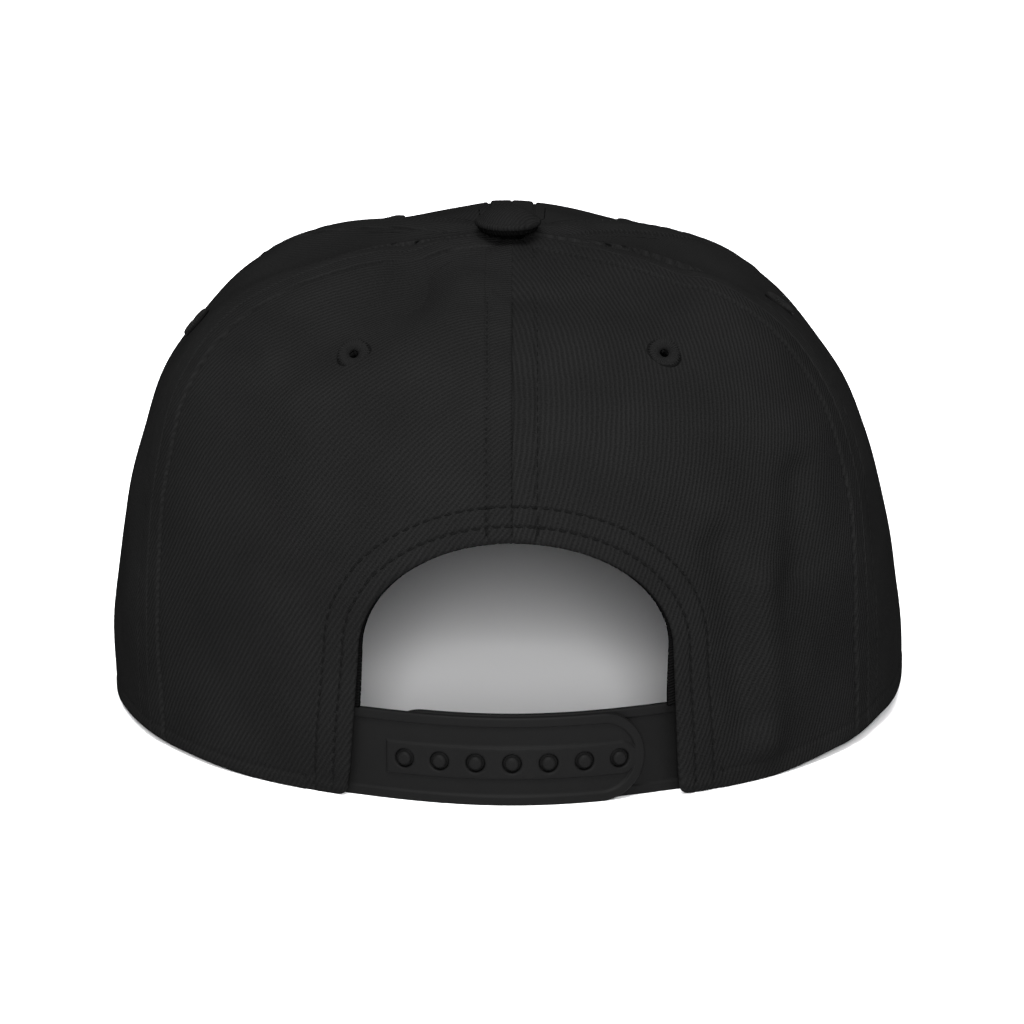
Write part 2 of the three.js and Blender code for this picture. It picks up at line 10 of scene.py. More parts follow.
import bmesh
import bpy
import numpy as np
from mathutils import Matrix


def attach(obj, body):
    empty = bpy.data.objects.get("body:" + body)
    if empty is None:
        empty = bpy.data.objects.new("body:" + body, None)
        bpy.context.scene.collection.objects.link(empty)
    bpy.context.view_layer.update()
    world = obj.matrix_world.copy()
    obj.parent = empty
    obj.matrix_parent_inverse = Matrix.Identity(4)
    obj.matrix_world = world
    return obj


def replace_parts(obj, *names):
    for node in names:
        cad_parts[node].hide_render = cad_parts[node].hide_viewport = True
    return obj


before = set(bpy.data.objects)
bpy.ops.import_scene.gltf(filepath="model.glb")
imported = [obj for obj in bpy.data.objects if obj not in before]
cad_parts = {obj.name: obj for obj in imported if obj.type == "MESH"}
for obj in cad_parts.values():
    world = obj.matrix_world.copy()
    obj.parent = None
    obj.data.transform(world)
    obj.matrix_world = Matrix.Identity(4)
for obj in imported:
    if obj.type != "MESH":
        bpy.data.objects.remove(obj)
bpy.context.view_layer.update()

# %% [markdown]
# ## The form of the crown
# The crown is a stiff, sewn dome. It could be sculpted, or simulated as cloth, but a cap of this
# kind keeps the form of its pattern pieces, so one formula does better: a point is given by its
# turn round the head and by how far up it lies, and a short table holds the profile toward the
# back, the sides and the front. The same sizes and tables make the CAD's solids, so what is drawn
# here lies on them.

# %% Sizes of the crown and its table of profiles
LEFT_HALF_WIDTH = 88.6
RIGHT_HALF_WIDTH = 87.4
BACK_LENGTH = 81.0
FRONT_LENGTH = 104.0
CROWN_HEIGHT = 105.0
CLOTH = 1.3
FRONT_CLOTH = 1.8
GAP = 0.3
BUTTON_HOLE_RADIUS = 3.0
SAG_SHARE = 0.25
PEAK_REACH = 70.0
MIDDLE = (FRONT_LENGTH + PEAK_REACH - BACK_LENGTH) / 2

# Shares of the half size and of the height toward the back, left, right and front, then how much
# flatter a panel is than the round, and the turns of the two seams in degrees, from rim to button.
PROFILE = np.array([
    [1.000, 0.000, 1.000, 0.000, 1.000, 0.000, 1.000, 0.000, 0.000, 62, 121],
    [1.000, 0.180, 0.999, 0.190, 0.985, 0.180, 0.990, 0.190, 0.000, 63, 121],
    [0.990, 0.360, 0.975, 0.380, 0.956, 0.360, 0.965, 0.380, 0.005, 65, 121],
    [0.945, 0.540, 0.930, 0.560, 0.908, 0.540, 0.920, 0.570, 0.010, 68, 122],
    [0.855, 0.710, 0.855, 0.730, 0.815, 0.710, 0.835, 0.750, 0.020, 71, 123],
    [0.680, 0.850, 0.695, 0.875, 0.658, 0.852, 0.650, 0.885, 0.040, 73, 124],
    [0.380, 0.955, 0.400, 0.958, 0.380, 0.948, 0.350, 0.966, 0.055, 75, 124],
    [0.000, 1.000, 0.000, 1.000, 0.000, 1.000, 0.000, 1.000, 0.000, 75, 124],
])

# Turn in degrees, and the rim's height on the left and right as a share of that at the peak's corner
LIFTS = np.array([
    [0, 0.00, 0.00],
    [38, 0.00, 0.00],
    [55, 0.16, 0.32],
    [70, 0.25, 0.68],
    [90, 0.14, 0.95],
    [105, 0.55, 1.04],
    [118, 1.00, 1.00],
])
PEAK_TURN = math.radians(118)
PEAK_HALF_WIDTH = 88.6
PEAK_THICK = 3.0
PEAK_RISE = 5.0

# Folds as lines from (x1, z1) to (x2, z2) with their half width and depth; below 0 is a ridge
FOLDS = np.array([
    [0.53, 0.840, 0.25, 0.935, 0.043, 0.010],
    [0.25, 0.935, 0.00, 0.967, 0.038, 0.011],
    [0.00, 0.967, -0.42, 0.925, 0.038, 0.010],
    [0.50, 0.745, 0.14, 0.915, 0.057, -0.009],
    [-0.50, 0.495, -0.58, 0.140, 0.043, 0.009],
    [-0.60, 0.400, -0.62, 0.080, 0.038, -0.010],
    [-0.69, 0.590, -0.695, 0.420, 0.038, 0.008],
])
print(f"Crown {LEFT_HALF_WIDTH + RIGHT_HALF_WIDTH:.0f} mm wide and {CROWN_HEIGHT:.0f} mm high")


# %% Small helpers for curves
def smooth(value):
    """Ease from 0 to 1: v * v * (3 - 2 * v), with v clamped."""
    value = np.clip(value, 0.0, 1.0)
    return value * value * (3.0 - 2.0 * value)


def mix(a, b, share):
    """a + (b - a) * share."""
    return a + (b - a) * share


def bell(distance, width):
    """1 on a line and nothing two widths away: exp(-(distance / width) ** 2)."""
    return np.exp(-((distance / width) ** 2))


def spline(table, place):
    """Catmull-Rom curve through a table's rows, place running from 0 to 1."""
    last = len(table) - 1
    spot = np.clip(np.asarray(place, float), 0, 1) * last
    i = np.minimum(spot.astype(int), last - 1)
    f = (spot - i)[..., None]
    b = table[i]
    d = table[i + 1]
    a = np.where((i > 0)[..., None], table[np.maximum(i - 1, 0)], 2 * b - d)
    e = np.where((i + 2 <= last)[..., None], table[np.minimum(i + 2, last)], 2 * d - b)
    curve = 2 * b + (d - a) * f + (2 * a - 5 * b + 4 * d - e) * f**2
    return 0.5 * (curve + (3 * b - a - 3 * d + e) * f**3)


print(f"A bell is {bell(1.0, 1.0):.2f} one width away and {bell(2.0, 1.0):.2f} two widths away")


# %% The crown's outer face
def peak_top(x):
    """Height of the peak's top: thickness + rise * (1 - (x / half width) ** 2)."""
    return PEAK_THICK + PEAK_RISE * (1 - (x / PEAK_HALF_WIDTH) ** 2)


def side_half(side):
    """Half width of the left side, where side is above 0, or of the right."""
    return np.where(np.asarray(side) > 0, LEFT_HALF_WIDTH, RIGHT_HALF_WIDTH)


def rim_height(turn):
    """The rim's height: the table of lifts up to the peak's corner, then the top of the peak."""
    around = np.mod(turn, 2 * np.pi)
    left = around < np.pi
    folded = np.degrees(np.where(left, around, 2 * np.pi - around))
    half = side_half(np.sin(turn))
    corner = peak_top(half * math.sin(PEAK_TURN)) + GAP
    low = np.clip(np.searchsorted(LIFTS[:, 0], folded, side="right") - 1, 0, len(LIFTS) - 2)
    step = smooth((folded - LIFTS[low, 0]) / (LIFTS[low + 1, 0] - LIFTS[low, 0]))
    column = np.where(left, 1, 2)
    lift = corner * mix(LIFTS[low, column], LIFTS[low + 1, column], step)
    return np.where(folded >= math.degrees(PEAK_TURN), peak_top(half * np.sin(turn)) + GAP, lift)


def fold_depth(x, z):
    """How deep the folds are at a point of the back: the sum of depth * bell(distance to each line)."""
    half = (LEFT_HALF_WIDTH + RIGHT_HALF_WIDTH) / 2
    depth = np.zeros_like(x)
    for x1, z1, x2, z2, width, sink in FOLDS:
        start = np.array([x1 * half, z1 * CROWN_HEIGHT])
        over = np.array([x2 * half, z2 * CROWN_HEIGHT]) - start
        along = np.clip(((x - start[0]) * over[0] + (z - start[1]) * over[1]) / (over @ over), 0, 1)
        away = np.hypot(x - start[0] - over[0] * along, z - start[1] - over[1] * along)
        depth = depth + sink * CROWN_HEIGHT * bell(away, width * CROWN_HEIGHT)
    return depth


def crown(turn, up):
    """Point of the crown: x = half width * sin(turn) * reach, y = length * cos(turn) * reach,
    z = rim + (height - rim) * high, where reach and high are the profile's values mixed by
    sin(turn) ** 2 between side and end, less the panel's own flatness and the folds."""
    turn, up = np.broadcast_arrays(np.asarray(turn, float), np.asarray(up, float))
    row = spline(PROFILE, up)
    s = np.sin(turn)
    c = np.cos(turn)
    around = np.mod(turn, 2 * np.pi)
    folded = np.where(around > np.pi, 2 * np.pi - around, around)
    back_seam = np.radians(row[..., 9])
    front_seam = np.radians(row[..., 10])
    share = np.where(folded < back_seam, folded / back_seam, np.where(
        folded < front_seam, (folded - back_seam) / (front_seam - back_seam),
        (folded - front_seam) / (np.pi - front_seam)))
    side_reach = np.where(s > 0, row[..., 2], row[..., 4])
    side_high = np.where(s > 0, row[..., 3], row[..., 5])
    end_reach = np.where(c > 0, row[..., 0], row[..., 6])
    end_high = np.where(c > 0, row[..., 1], row[..., 7])
    slack = row[..., 8] * np.sin(np.pi * share) ** 2
    reach = (side_reach * s * s + end_reach * c * c) * (1 - slack)
    high = (side_high * s * s + end_high * c * c) * (1 - SAG_SHARE * slack)
    x = side_half(s) * s * reach
    y = np.where(c > 0, BACK_LENGTH, FRONT_LENGTH) * c * reach
    z = mix(rim_height(turn), CROWN_HEIGHT, high)
    sink = np.where(c > 0, fold_depth(x, z) * smooth(c * 3) * smooth((1 - up) * 12), 0)
    slope = smooth((up - 0.6) / 0.4)
    return np.stack([x - sink * s * (1 - slope), y - sink * c * (1 - slope), z - sink * slope], -1)


def crown_normal(turn, up):
    """Outward normal: the step up the crown crossed with the step round it."""
    step = 0.004
    up = np.clip(up, step, 1 - 2 * step)
    around = crown(turn + step, up) - crown(turn - step, up)
    rise = crown(turn, up + step) - crown(turn, up - step)
    out = np.cross(rise, around)
    return out / np.linalg.norm(out, axis=-1, keepdims=True)


print("Button sits at", crown(0.0, 1.0).round(2), "mm")


# %% [markdown]
# ## Making meshes
# Every new piece is a grid of points worked out as one array. A cloth panel or a strap has two
# faces, so `closed_shell` takes the same cells for an outer and an inner set of points and walls
# up every open edge by itself: no Solidify is needed, and the wall may be as thick or as rounded
# as the formula says.

# %% Grids and closed shells
def cells_of(ids):
    """The four corners of every cell of a grid of point numbers."""
    corners = [ids[:-1, :-1], ids[:-1, 1:], ids[1:, 1:], ids[1:, :-1]]
    return np.stack(corners, -1).reshape(-1, 4)


def closed_shell(outer, inner, cells):
    """Faces of a shell: the cells outside, the same cells inside, and a wall on each open edge."""
    count = len(outer)
    edges = np.concatenate([cells[:, [k, (k + 1) % 4]] for k in range(4)])
    ordered = np.sort(edges, axis=1)
    key = ordered[:, 0] * count + ordered[:, 1]
    found, first, uses = np.unique(key, return_index=True, return_counts=True)
    rim = edges[first[uses == 1]]
    walls = np.stack([rim[:, 1], rim[:, 0], rim[:, 0] + count, rim[:, 1] + count], 1)
    faces = np.concatenate([cells, cells[:, ::-1] + count, walls])
    return np.concatenate([outer, inner]), faces


def make_piece(name, points, faces, material, grain=None, extra=()):
    """A mesh object from points in mm about the button; faces are arrays of corners."""
    faces = np.asarray(faces)
    used = np.unique(np.concatenate([faces.ravel(), *[np.asarray(f) for f in extra]]))
    number = np.zeros(len(points), int)
    number[used] = np.arange(len(used))
    places = (points[used] + np.array([0, MIDDLE, 0])) * 0.001
    corners = number[faces].tolist() + [number[np.asarray(f)].tolist() for f in extra]
    mesh = bpy.data.meshes.new(name)
    mesh.from_pydata(places.tolist(), [], corners)
    if grain is not None:
        layer = mesh.uv_layers.new(name="grain")
        corner_points = np.empty(len(mesh.loops), dtype=np.int32)
        mesh.loops.foreach_get("vertex_index", corner_points)
        layer.data.foreach_set("uv", grain[used][corner_points].astype(np.float32).ravel())
    shape = bmesh.new()
    shape.from_mesh(mesh)
    bmesh.ops.recalc_face_normals(shape, faces=shape.faces)
    shape.to_mesh(mesh)
    shape.free()
    mesh.polygons.foreach_set("use_smooth", [True] * len(mesh.polygons))
    mesh.materials.append(material)
    piece = bpy.data.objects.new(name, mesh)
    bpy.context.scene.collection.objects.link(piece)
    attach(piece, "root")
    triangles = sum(len(p.vertices) - 2 for p in mesh.polygons)
    print(f"{name}: {len(used)} points, {triangles} triangles")
    return piece


def cloth_area(piece):
    """Half of a closed shell's surface, which is the area of its cloth, in square metres."""
    return sum(p.area for p in piece.data.polygons) / 2


ROW_STEP = 0.17


def spread(length, fine=0.12, near=0.4, far=1.2, edge=8.0, rows=()):
    """Places from 0 to length mm, close at both ends: the step grows from fine to near within
    1.5 mm of an end and from near to far beyond edge, and is ROW_STEP again at each row."""
    line = np.linspace(0, length, 4000)
    away = np.minimum(line, length - line)
    step = fine + (near - fine) * smooth(away / 1.5) + (far - near) * smooth((away - edge) / 4)
    for row in rows:
        step = np.minimum(step, mix(ROW_STEP, step, smooth((np.abs(away - row) - 0.6) / 0.8)))
    total = np.concatenate([[0], np.cumsum(np.diff(line) / step[1:])])
    return np.interp(np.linspace(0, total[-1], int(round(total[-1])) + 1), total, line)


print(f"Places across a panel 90 mm wide: {len(spread(90.0))}")


# %% [markdown]
# ## Materials
# The cap is all black, so its materials differ by weave and gloss, not by colour. Each starts from
# what the real one is. Patterns on cloth follow the piece's own grain map, whose two numbers are
# millimetres across and along the grain, so the weave turns with each panel as it does when panels
# are cut from a roll and sewn round a dome.

# %% Colour and node helpers
def linear(hex_colour):
    """sRGB hex to linear: ((v + 0.055) / 1.055) ** 2.4, or v / 12.92 when dark."""
    values = [int(hex_colour[i:i + 2], 16) / 255 for i in (0, 2, 4)]
    return [v / 12.92 if v <= 0.04045 else ((v + 0.055) / 1.055) ** 2.4 for v in values] + [1.0]


def add_node(tree, kind, inputs=None, **settings):
    """Add one node, with its options and its inputs, each a value or another node's socket."""
    made = tree.nodes.new(kind)
    for name, value in settings.items():
        setattr(made, name, value)
    for name, value in (inputs or {}).items():
        if isinstance(value, bpy.types.NodeSocket):
            tree.links.new(value, made.inputs[name])
        else:
            made.inputs[name].default_value = value
    return made


def sums(tree, operation, a, b=0.0, c=0.0):
    """One Math node's result."""
    made = add_node(tree, "ShaderNodeMath", {0: a, 1: b, 2: c}, operation=operation)
    return made.outputs[0]


def new_material(name):
    """An empty material and its node tree, with a Principled shader joined to its output."""
    material = bpy.data.materials.new(name)
    material.use_nodes = True
    tree = material.node_tree
    tree.nodes.clear()
    shader = add_node(tree, "ShaderNodeBsdfPrincipled")
    add_node(tree, "ShaderNodeOutputMaterial", {"Surface": shader.outputs[0]})
    return material, tree, shader


print(f"The cloth's 101010 is {linear('101010')[0]:.4f} in linear light")


# %% Twill cloth
YARN_PITCH = 0.55


def twill_cloth(name, hex_colour, pitch=1.0, steep=57.0, relief=0.12, contrast=0.30):
    """Wool-blend twill: ribs (wales) at an angle to the grain, 1.0 mm apart, broken by the yarns
    that cross them, with a fuzz of fine hairs. Dull all over, hence high roughness and no
    specular. The yarns' own 0.4 mm is too fine to show and is drawn at 0.55 mm."""
    material, tree, shader = new_material(name)
    grain = add_node(tree, "ShaderNodeUVMap", uv_map="grain").outputs[0]
    waver = add_node(tree, "ShaderNodeTexNoise", {"Vector": grain, "Scale": 0.22, "Detail": 2.0})
    slub = add_node(tree, "ShaderNodeTexNoise", {"Vector": grain, "Scale": 0.9, "Detail": 2.0})
    fuzz = add_node(tree, "ShaderNodeTexNoise", {"Vector": grain, "Scale": 2.6, "Detail": 3.0})
    patch = add_node(tree, "ShaderNodeTexNoise", {"Vector": grain, "Scale": 0.045, "Detail": 2.0})
    across = (math.sin(math.radians(steep)) / pitch, -math.cos(math.radians(steep)) / pitch, 0)
    along = (math.cos(math.radians(steep)) / YARN_PITCH, math.sin(math.radians(steep)) / YARN_PITCH, 0)
    rib = add_node(tree, "ShaderNodeVectorMath", {0: grain, 1: across}, operation="DOT_PRODUCT")
    yarn = add_node(tree, "ShaderNodeVectorMath", {0: grain, 1: along}, operation="DOT_PRODUCT")
    phase = sums(tree, "MULTIPLY_ADD", waver.outputs[0], 0.6, rib.outputs["Value"])
    phase = sums(tree, "MULTIPLY_ADD", slub.outputs[0], 0.25, phase)
    wale = sums(tree, "SINE", sums(tree, "MULTIPLY", phase, 2 * math.pi))
    wale = sums(tree, "MULTIPLY_ADD", wale, 0.5, 0.5)
    crossing = sums(tree, "MULTIPLY_ADD", slub.outputs[0], 0.8, yarn.outputs["Value"])
    crossing = sums(tree, "SINE", sums(tree, "MULTIPLY", crossing, 2 * math.pi))
    height = sums(tree, "MULTIPLY_ADD", crossing, 0.10, wale)
    height = sums(tree, "MULTIPLY_ADD", fuzz.outputs[0], 0.9, height)
    raised = add_node(tree, "ShaderNodeBump", {
        "Strength": 1.0, "Distance": relief * 0.001, "Height": height})
    # The colour follows the height of the wales, their crossings and the fuzz, darker in the hollows:
    # painted shade in the weave; the large patches vary it at random.
    clear = sums(tree, "MULTIPLY_ADD", patch.outputs[0], 1.6 * contrast, 0.15 * contrast)
    shade = sums(tree, "MULTIPLY_ADD", sums(tree, "SUBTRACT", wale, 0.5), clear, 1.0 - contrast * 0.1)
    shade = sums(tree, "MULTIPLY_ADD", crossing, 0.04, shade)
    shade = sums(tree, "MULTIPLY_ADD", sums(tree, "SUBTRACT", fuzz.outputs[0], 0.5), 0.9, shade)
    shade = sums(tree, "MULTIPLY_ADD", sums(tree, "SUBTRACT", patch.outputs[0], 0.5), 0.5, shade)
    colour = add_node(tree, "ShaderNodeVectorMath", {
        0: linear(hex_colour)[:3], "Scale": shade}, operation="SCALE")
    tree.links.new(colour.outputs[0], shader.inputs["Base Color"])
    tree.links.new(raised.outputs[0], shader.inputs["Normal"])
    shader.inputs["Roughness"].default_value = 0.95
    shader.inputs["Specular IOR Level"].default_value = 0.0
    return material


BLACK_TWILL = twill_cloth("black wool-blend twill", "101010")
# A darker copy of the twill for the wall under the button: painted shade under the button's edge.
SHADED_TWILL_UNDER_BUTTON = twill_cloth("black twill darkened as painted shade under the button", "080808")
print("Twill wales 1.0 mm apart at 57 degrees to the weft")


# %% Cotton band, ribbed tape, thread and plastic
def cotton_band(name, hex_colour, rib=0.8, relief=0.12):
    """Cotton twill band or ribbed tape: close ribs across its length, from the weft over the warp."""
    material, tree, shader = new_material(name)
    grain = add_node(tree, "ShaderNodeUVMap", uv_map="grain").outputs[0]
    fuzz = add_node(tree, "ShaderNodeTexNoise", {"Vector": grain, "Scale": 2.4, "Detail": 3.0})
    place = add_node(tree, "ShaderNodeVectorMath", {0: grain, 1: (1 / rib, 0.35, 0)},
                     operation="DOT_PRODUCT")
    wave = sums(tree, "SINE", sums(tree, "MULTIPLY", place.outputs["Value"], 2 * math.pi))
    height = sums(tree, "MULTIPLY_ADD", fuzz.outputs[0], 0.8, sums(tree, "MULTIPLY", wave, 0.5))
    raised = add_node(tree, "ShaderNodeBump", {
        "Strength": 1.0, "Distance": relief * 0.001, "Height": height})
    # The colour follows the ribs and the fuzz, darker in their hollows: painted shade between the ribs.
    shade = sums(tree, "MULTIPLY_ADD", wave, 0.12, 0.6)
    shade = sums(tree, "MULTIPLY_ADD", fuzz.outputs[0], 0.8, shade)
    colour = add_node(tree, "ShaderNodeVectorMath", {
        0: linear(hex_colour)[:3], "Scale": shade}, operation="SCALE")
    tree.links.new(colour.outputs[0], shader.inputs["Base Color"])
    tree.links.new(raised.outputs[0], shader.inputs["Normal"])
    shader.inputs["Roughness"].default_value = 0.9
    shader.inputs["Specular IOR Level"].default_value = 0.0
    return material


def spun_thread(name, hex_colour):
    """Polyester sewing and embroidery thread: two plies twisted, a little glossier than cloth."""
    material, tree, shader = new_material(name)
    place = add_node(tree, "ShaderNodeTexCoord").outputs["Object"]
    plies = add_node(tree, "ShaderNodeTexNoise", {"Vector": place, "Scale": 2600.0, "Detail": 2.0})
    raised = add_node(tree, "ShaderNodeBump", {
        "Strength": 0.6, "Distance": 0.00006, "Height": plies.outputs[0]})
    shade = sums(tree, "MULTIPLY_ADD", plies.outputs[0], 0.8, 0.6)
    colour = add_node(tree, "ShaderNodeVectorMath", {
        0: linear(hex_colour)[:3], "Scale": shade}, operation="SCALE")
    tree.links.new(colour.outputs[0], shader.inputs["Base Color"])
    tree.links.new(raised.outputs[0], shader.inputs["Normal"])
    shader.inputs["Roughness"].default_value = 0.8
    shader.inputs["Specular IOR Level"].default_value = 0.02
    return material


def moulded_plastic(name, hex_colour):
    """Injection-moulded soft polyethylene: satin, with the mould's fine spark-eroded grain of
    about 0.3 mm and faint large unevenness where it cooled."""
    material, tree, shader = new_material(name)
    place = add_node(tree, "ShaderNodeTexCoord").outputs["Object"]
    grit = add_node(tree, "ShaderNodeTexNoise", {"Vector": place, "Scale": 3200.0, "Detail": 2.0})
    cloud = add_node(tree, "ShaderNodeTexNoise", {"Vector": place, "Scale": 90.0, "Detail": 3.0})
    height = sums(tree, "MULTIPLY_ADD", cloud.outputs[0], 3.0, grit.outputs[0])
    raised = add_node(tree, "ShaderNodeBump", {
        "Strength": 0.35, "Distance": 0.00005, "Height": height})
    shade = sums(tree, "MULTIPLY_ADD", cloud.outputs[0], 0.3, 0.85)
    rough = sums(tree, "MULTIPLY_ADD", grit.outputs[0], 0.12, 0.5)
    colour = add_node(tree, "ShaderNodeVectorMath", {
        0: linear(hex_colour)[:3], "Scale": shade}, operation="SCALE")
    tree.links.new(colour.outputs[0], shader.inputs["Base Color"])
    tree.links.new(rough, shader.inputs["Roughness"])
    tree.links.new(raised.outputs[0], shader.inputs["Normal"])
    shader.inputs["Specular IOR Level"].default_value = 0.03
    return material


BAND_COTTON = cotton_band("black cotton sweatband", "0E0E0E")
TAPE_RIB = 1.1
RIBBED_TAPE = cotton_band("black ribbed tape", "080808", rib=TAPE_RIB, relief=0.3)
# The thread is black, and it is darker than the cloth also as painted shade of the sunk rows and their
# needle holes.
BLACK_THREAD_WITH_ROW_SHADE = spun_thread("black polyester thread", "080808")
EMBROIDERY = spun_thread("black embroidery thread", "0E0E0E")
# A near-black thread for the cord round each eyelet's foot: painted shade round the raised ring.
EYELET_SHADE_CORD = spun_thread("dark thread as painted shade round the eyelet", "050505")
STRAP_PLASTIC = moulded_plastic("black moulded polyethylene", "0B0B0B")
for material in (BAND_COTTON, RIBBED_TAPE, BLACK_THREAD_WITH_ROW_SHADE, EMBROIDERY, EYELET_SHADE_CORD, STRAP_PLASTIC):
    print("Made", material.name)

# %% [markdown]
# ## Seams, hems and the panels' grain
# Six panels meet in six seams that run from the rim to the button. On the real cap each seam's
# spare cloth lies flat inside, held by a row of stitches on either side, so outside there is a fine
# groove, a slightly raised strip and two sunk rows. These are functions of the distance to the
# seam, worked out for every point of the panel's grid.

# %% The arch, its distance and finding places on the crown
ARCH_LEFT = {"foot_half": 34.8, "leg_half": 32.4, "tape_shows": 0.5}
ARCH_RIGHT = {"foot_half": 35.5, "leg_half": 34.1, "tape_shows": 1.1}
ARCH_LEG_HEIGHT = 32.0
ARCH_HEIGHT = 56.5
LEG_SHARE = 0.4
ARCH_ROWS = (3.4, 7.3)
CORNER_ROUND = 2.4
print(f"Arch {ARCH_LEFT['foot_half'] + ARCH_RIGHT['foot_half']:.1f} mm wide, {ARCH_HEIGHT:.1f} mm high")


def arch_size(side, name):
    """One of the arch's sizes, on the left where side is above 0, or on the right."""
    return np.where(np.asarray(side) > 0, ARCH_LEFT[name], ARCH_RIGHT[name])


def arch_edge(share, side):
    """Half of the arch's edge from behind: a leg leaning in up to LEG_SHARE, then a quarter oval
    (leg half * cos(a), leg height + rise * sin(a))."""
    share = np.asarray(share, float)
    foot_half = arch_size(side, "foot_half")
    leg_half = arch_size(side, "leg_half")
    up = np.clip(share / LEG_SHARE, 0, 1)
    angle = np.clip((share - LEG_SHARE) / (1 - LEG_SHARE), 0, 1) * np.pi / 2
    leg = share < LEG_SHARE
    x = np.where(leg, mix(foot_half, leg_half, up), leg_half * np.cos(angle))
    rise = (ARCH_HEIGHT - ARCH_LEG_HEIGHT) * np.sin(angle)
    return x, np.where(leg, ARCH_LEG_HEIGHT * up, ARCH_LEG_HEIGHT + rise)


def arch_offset(share, away, side):
    """The arch's edge moved outward by a distance, square to itself, as seen from behind."""
    x, z = arch_edge(share, side)
    x1, z1 = arch_edge(np.clip(share - 0.004, 0, 1), side)
    x2, z2 = arch_edge(np.clip(share + 0.004, 0, 1), side)
    length = np.hypot(x2 - x1, z2 - z1)
    out_x = (z2 - z1) / length
    out_z = -(x2 - x1) / length
    return x + out_x * away, z + out_z * away


def arch_distance(x, z, side):
    """Distance from the arch's edge as seen from behind, to the nearest of 240 short lines."""
    line_x, line_z = arch_edge(np.linspace(0, 1, 241), side)
    flat_x = np.abs(x).ravel()
    flat_z = z.ravel()
    nearest = np.full(flat_x.shape, 1e9)
    for i in range(240):
        over = np.array([line_x[i + 1] - line_x[i], line_z[i + 1] - line_z[i]])
        to_x = flat_x - line_x[i]
        to_z = flat_z - line_z[i]
        along = np.clip((to_x * over[0] + to_z * over[1]) / (over @ over), 0, 1)
        nearest = np.minimum(nearest, np.hypot(to_x - over[0] * along, to_z - over[1] * along))
    return nearest.reshape(x.shape)


def find_on_crown(x, z):
    """Turn and up of the points of the crown's back seen at (x, z), by halving in turns."""
    turn = np.zeros_like(x)
    up = np.zeros_like(x)
    for _ in range(7):
        low = np.zeros_like(x)
        high = np.full_like(x, 0.95)
        for _ in range(20):
            up = (low + high) / 2
            below = crown(turn, up)[..., 2] < z
            low = np.where(below, up, low)
            high = np.where(below, high, up)
        up = np.where(z <= 0, 0.0, up)
        low = np.full_like(x, -1.4)
        high = np.full_like(x, 1.4)
        for _ in range(20):
            turn = (low + high) / 2
            short = crown(turn, up)[..., 0] < x
            low = np.where(short, turn, low)
            high = np.where(short, high, turn)
    return turn, up


# %% Eyelets and the holes they bind
EYELETS = {
    "back_left": (1, "back", 0.46, 0.704),
    "back_right": (-1, "back", 0.472, 0.712),
    "side_left": (1, "side", 0.41, 0.625),
    "side_right": (-1, "side", 0.36, 0.690),
    "front_left": (1, "front", 0.50, 0.690),
    "front_right": (-1, "front", 0.50, 0.690),
}
EYELET_RADIUS = 3.5
EYELET_BORE = 0.95
EYELET_CUT = 2.1
print(f"{len(EYELETS)} eyelets {2 * EYELET_RADIUS:.1f} mm across")


def eyelet_spot(name):
    """Turn and level of an eyelet: a share of the way between its panel's two seams."""
    sign, row, share, level = EYELETS[name]
    low, high = panel_seams(row, level)
    return sign * mix(float(low), float(high), share), level


def pierced(cells, points, row, sign):
    """The cells of a panel's grid without those at its eyelet, under whose ring the hole ends."""
    name = row + ("_left" if sign > 0 else "_right")
    centre = crown(*eyelet_spot(name))
    middle = points[cells].mean(axis=1)
    return cells[np.linalg.norm(middle - centre, axis=1) > EYELET_CUT]


# %% The seams that bound a panel, and its grain
LEVELS = np.linspace(0, 1, 401)
OFF_GRAIN = math.radians(12)


def panel_seams(row, up):
    """Turns of a panel's two seams, the one nearer the back first."""
    values = spline(PROFILE, up)
    back = np.radians(values[..., 9])
    front = np.radians(values[..., 10])
    bounds = {"back": (0 * back, back), "side": (back, front), "front": (front, 0 * front + np.pi)}
    return bounds[row]


def line_length(turns):
    """Length along the crown's face of a line given by its turn at each level."""
    points = crown(turns, LEVELS)
    steps = np.linalg.norm(np.diff(points, axis=0), axis=1)
    return np.concatenate([[0], np.cumsum(steps)])


def round_speed(turn, up):
    """Millimetres of cloth for each radian of turn."""
    step = 0.003
    return np.linalg.norm(crown(turn + step, up) - crown(turn - step, up), axis=-1) / (2 * step)


def panel_grain(row, sign, turn, up):
    """Millimetres across the grain, from the panel's middle line, and along it, from the rim. Near
    the button the cloth lies as a fan: (R * sin(a), L - R * cos(a)), R from the button. The right
    back panel is cut OFF_GRAIN from the other's direction, which turns both numbers together."""
    low, high = panel_seams(row, LEVELS)
    middle = sign * (low + high) / 2
    lengths = line_length(middle)
    speeds = round_speed(middle, LEVELS)
    centre = np.interp(up, LEVELS, middle)
    across = -(turn - centre) * np.interp(up, LEVELS, speeds)
    along = np.interp(up, LEVELS, lengths)
    left = np.maximum(lengths[-1] - along, 1e-3)
    angle = np.clip(across / left, -1.2, 1.2)
    cone = smooth((up - 0.45) / 0.5)
    across = mix(across, left * np.sin(angle), cone)
    along = along + cone * left * (1 - np.cos(angle))
    off = OFF_GRAIN if row == "back" and sign < 0 else 0.0
    return np.stack([across * math.cos(off) + along * math.sin(off),
                     along * math.cos(off) - across * math.sin(off)], -1)


for row in ("back", "side", "front"):
    low, high = panel_seams(row, LEVELS)
    print(f"{row} panel: middle line {line_length((low + high) / 2)[-1]:.0f} mm long")


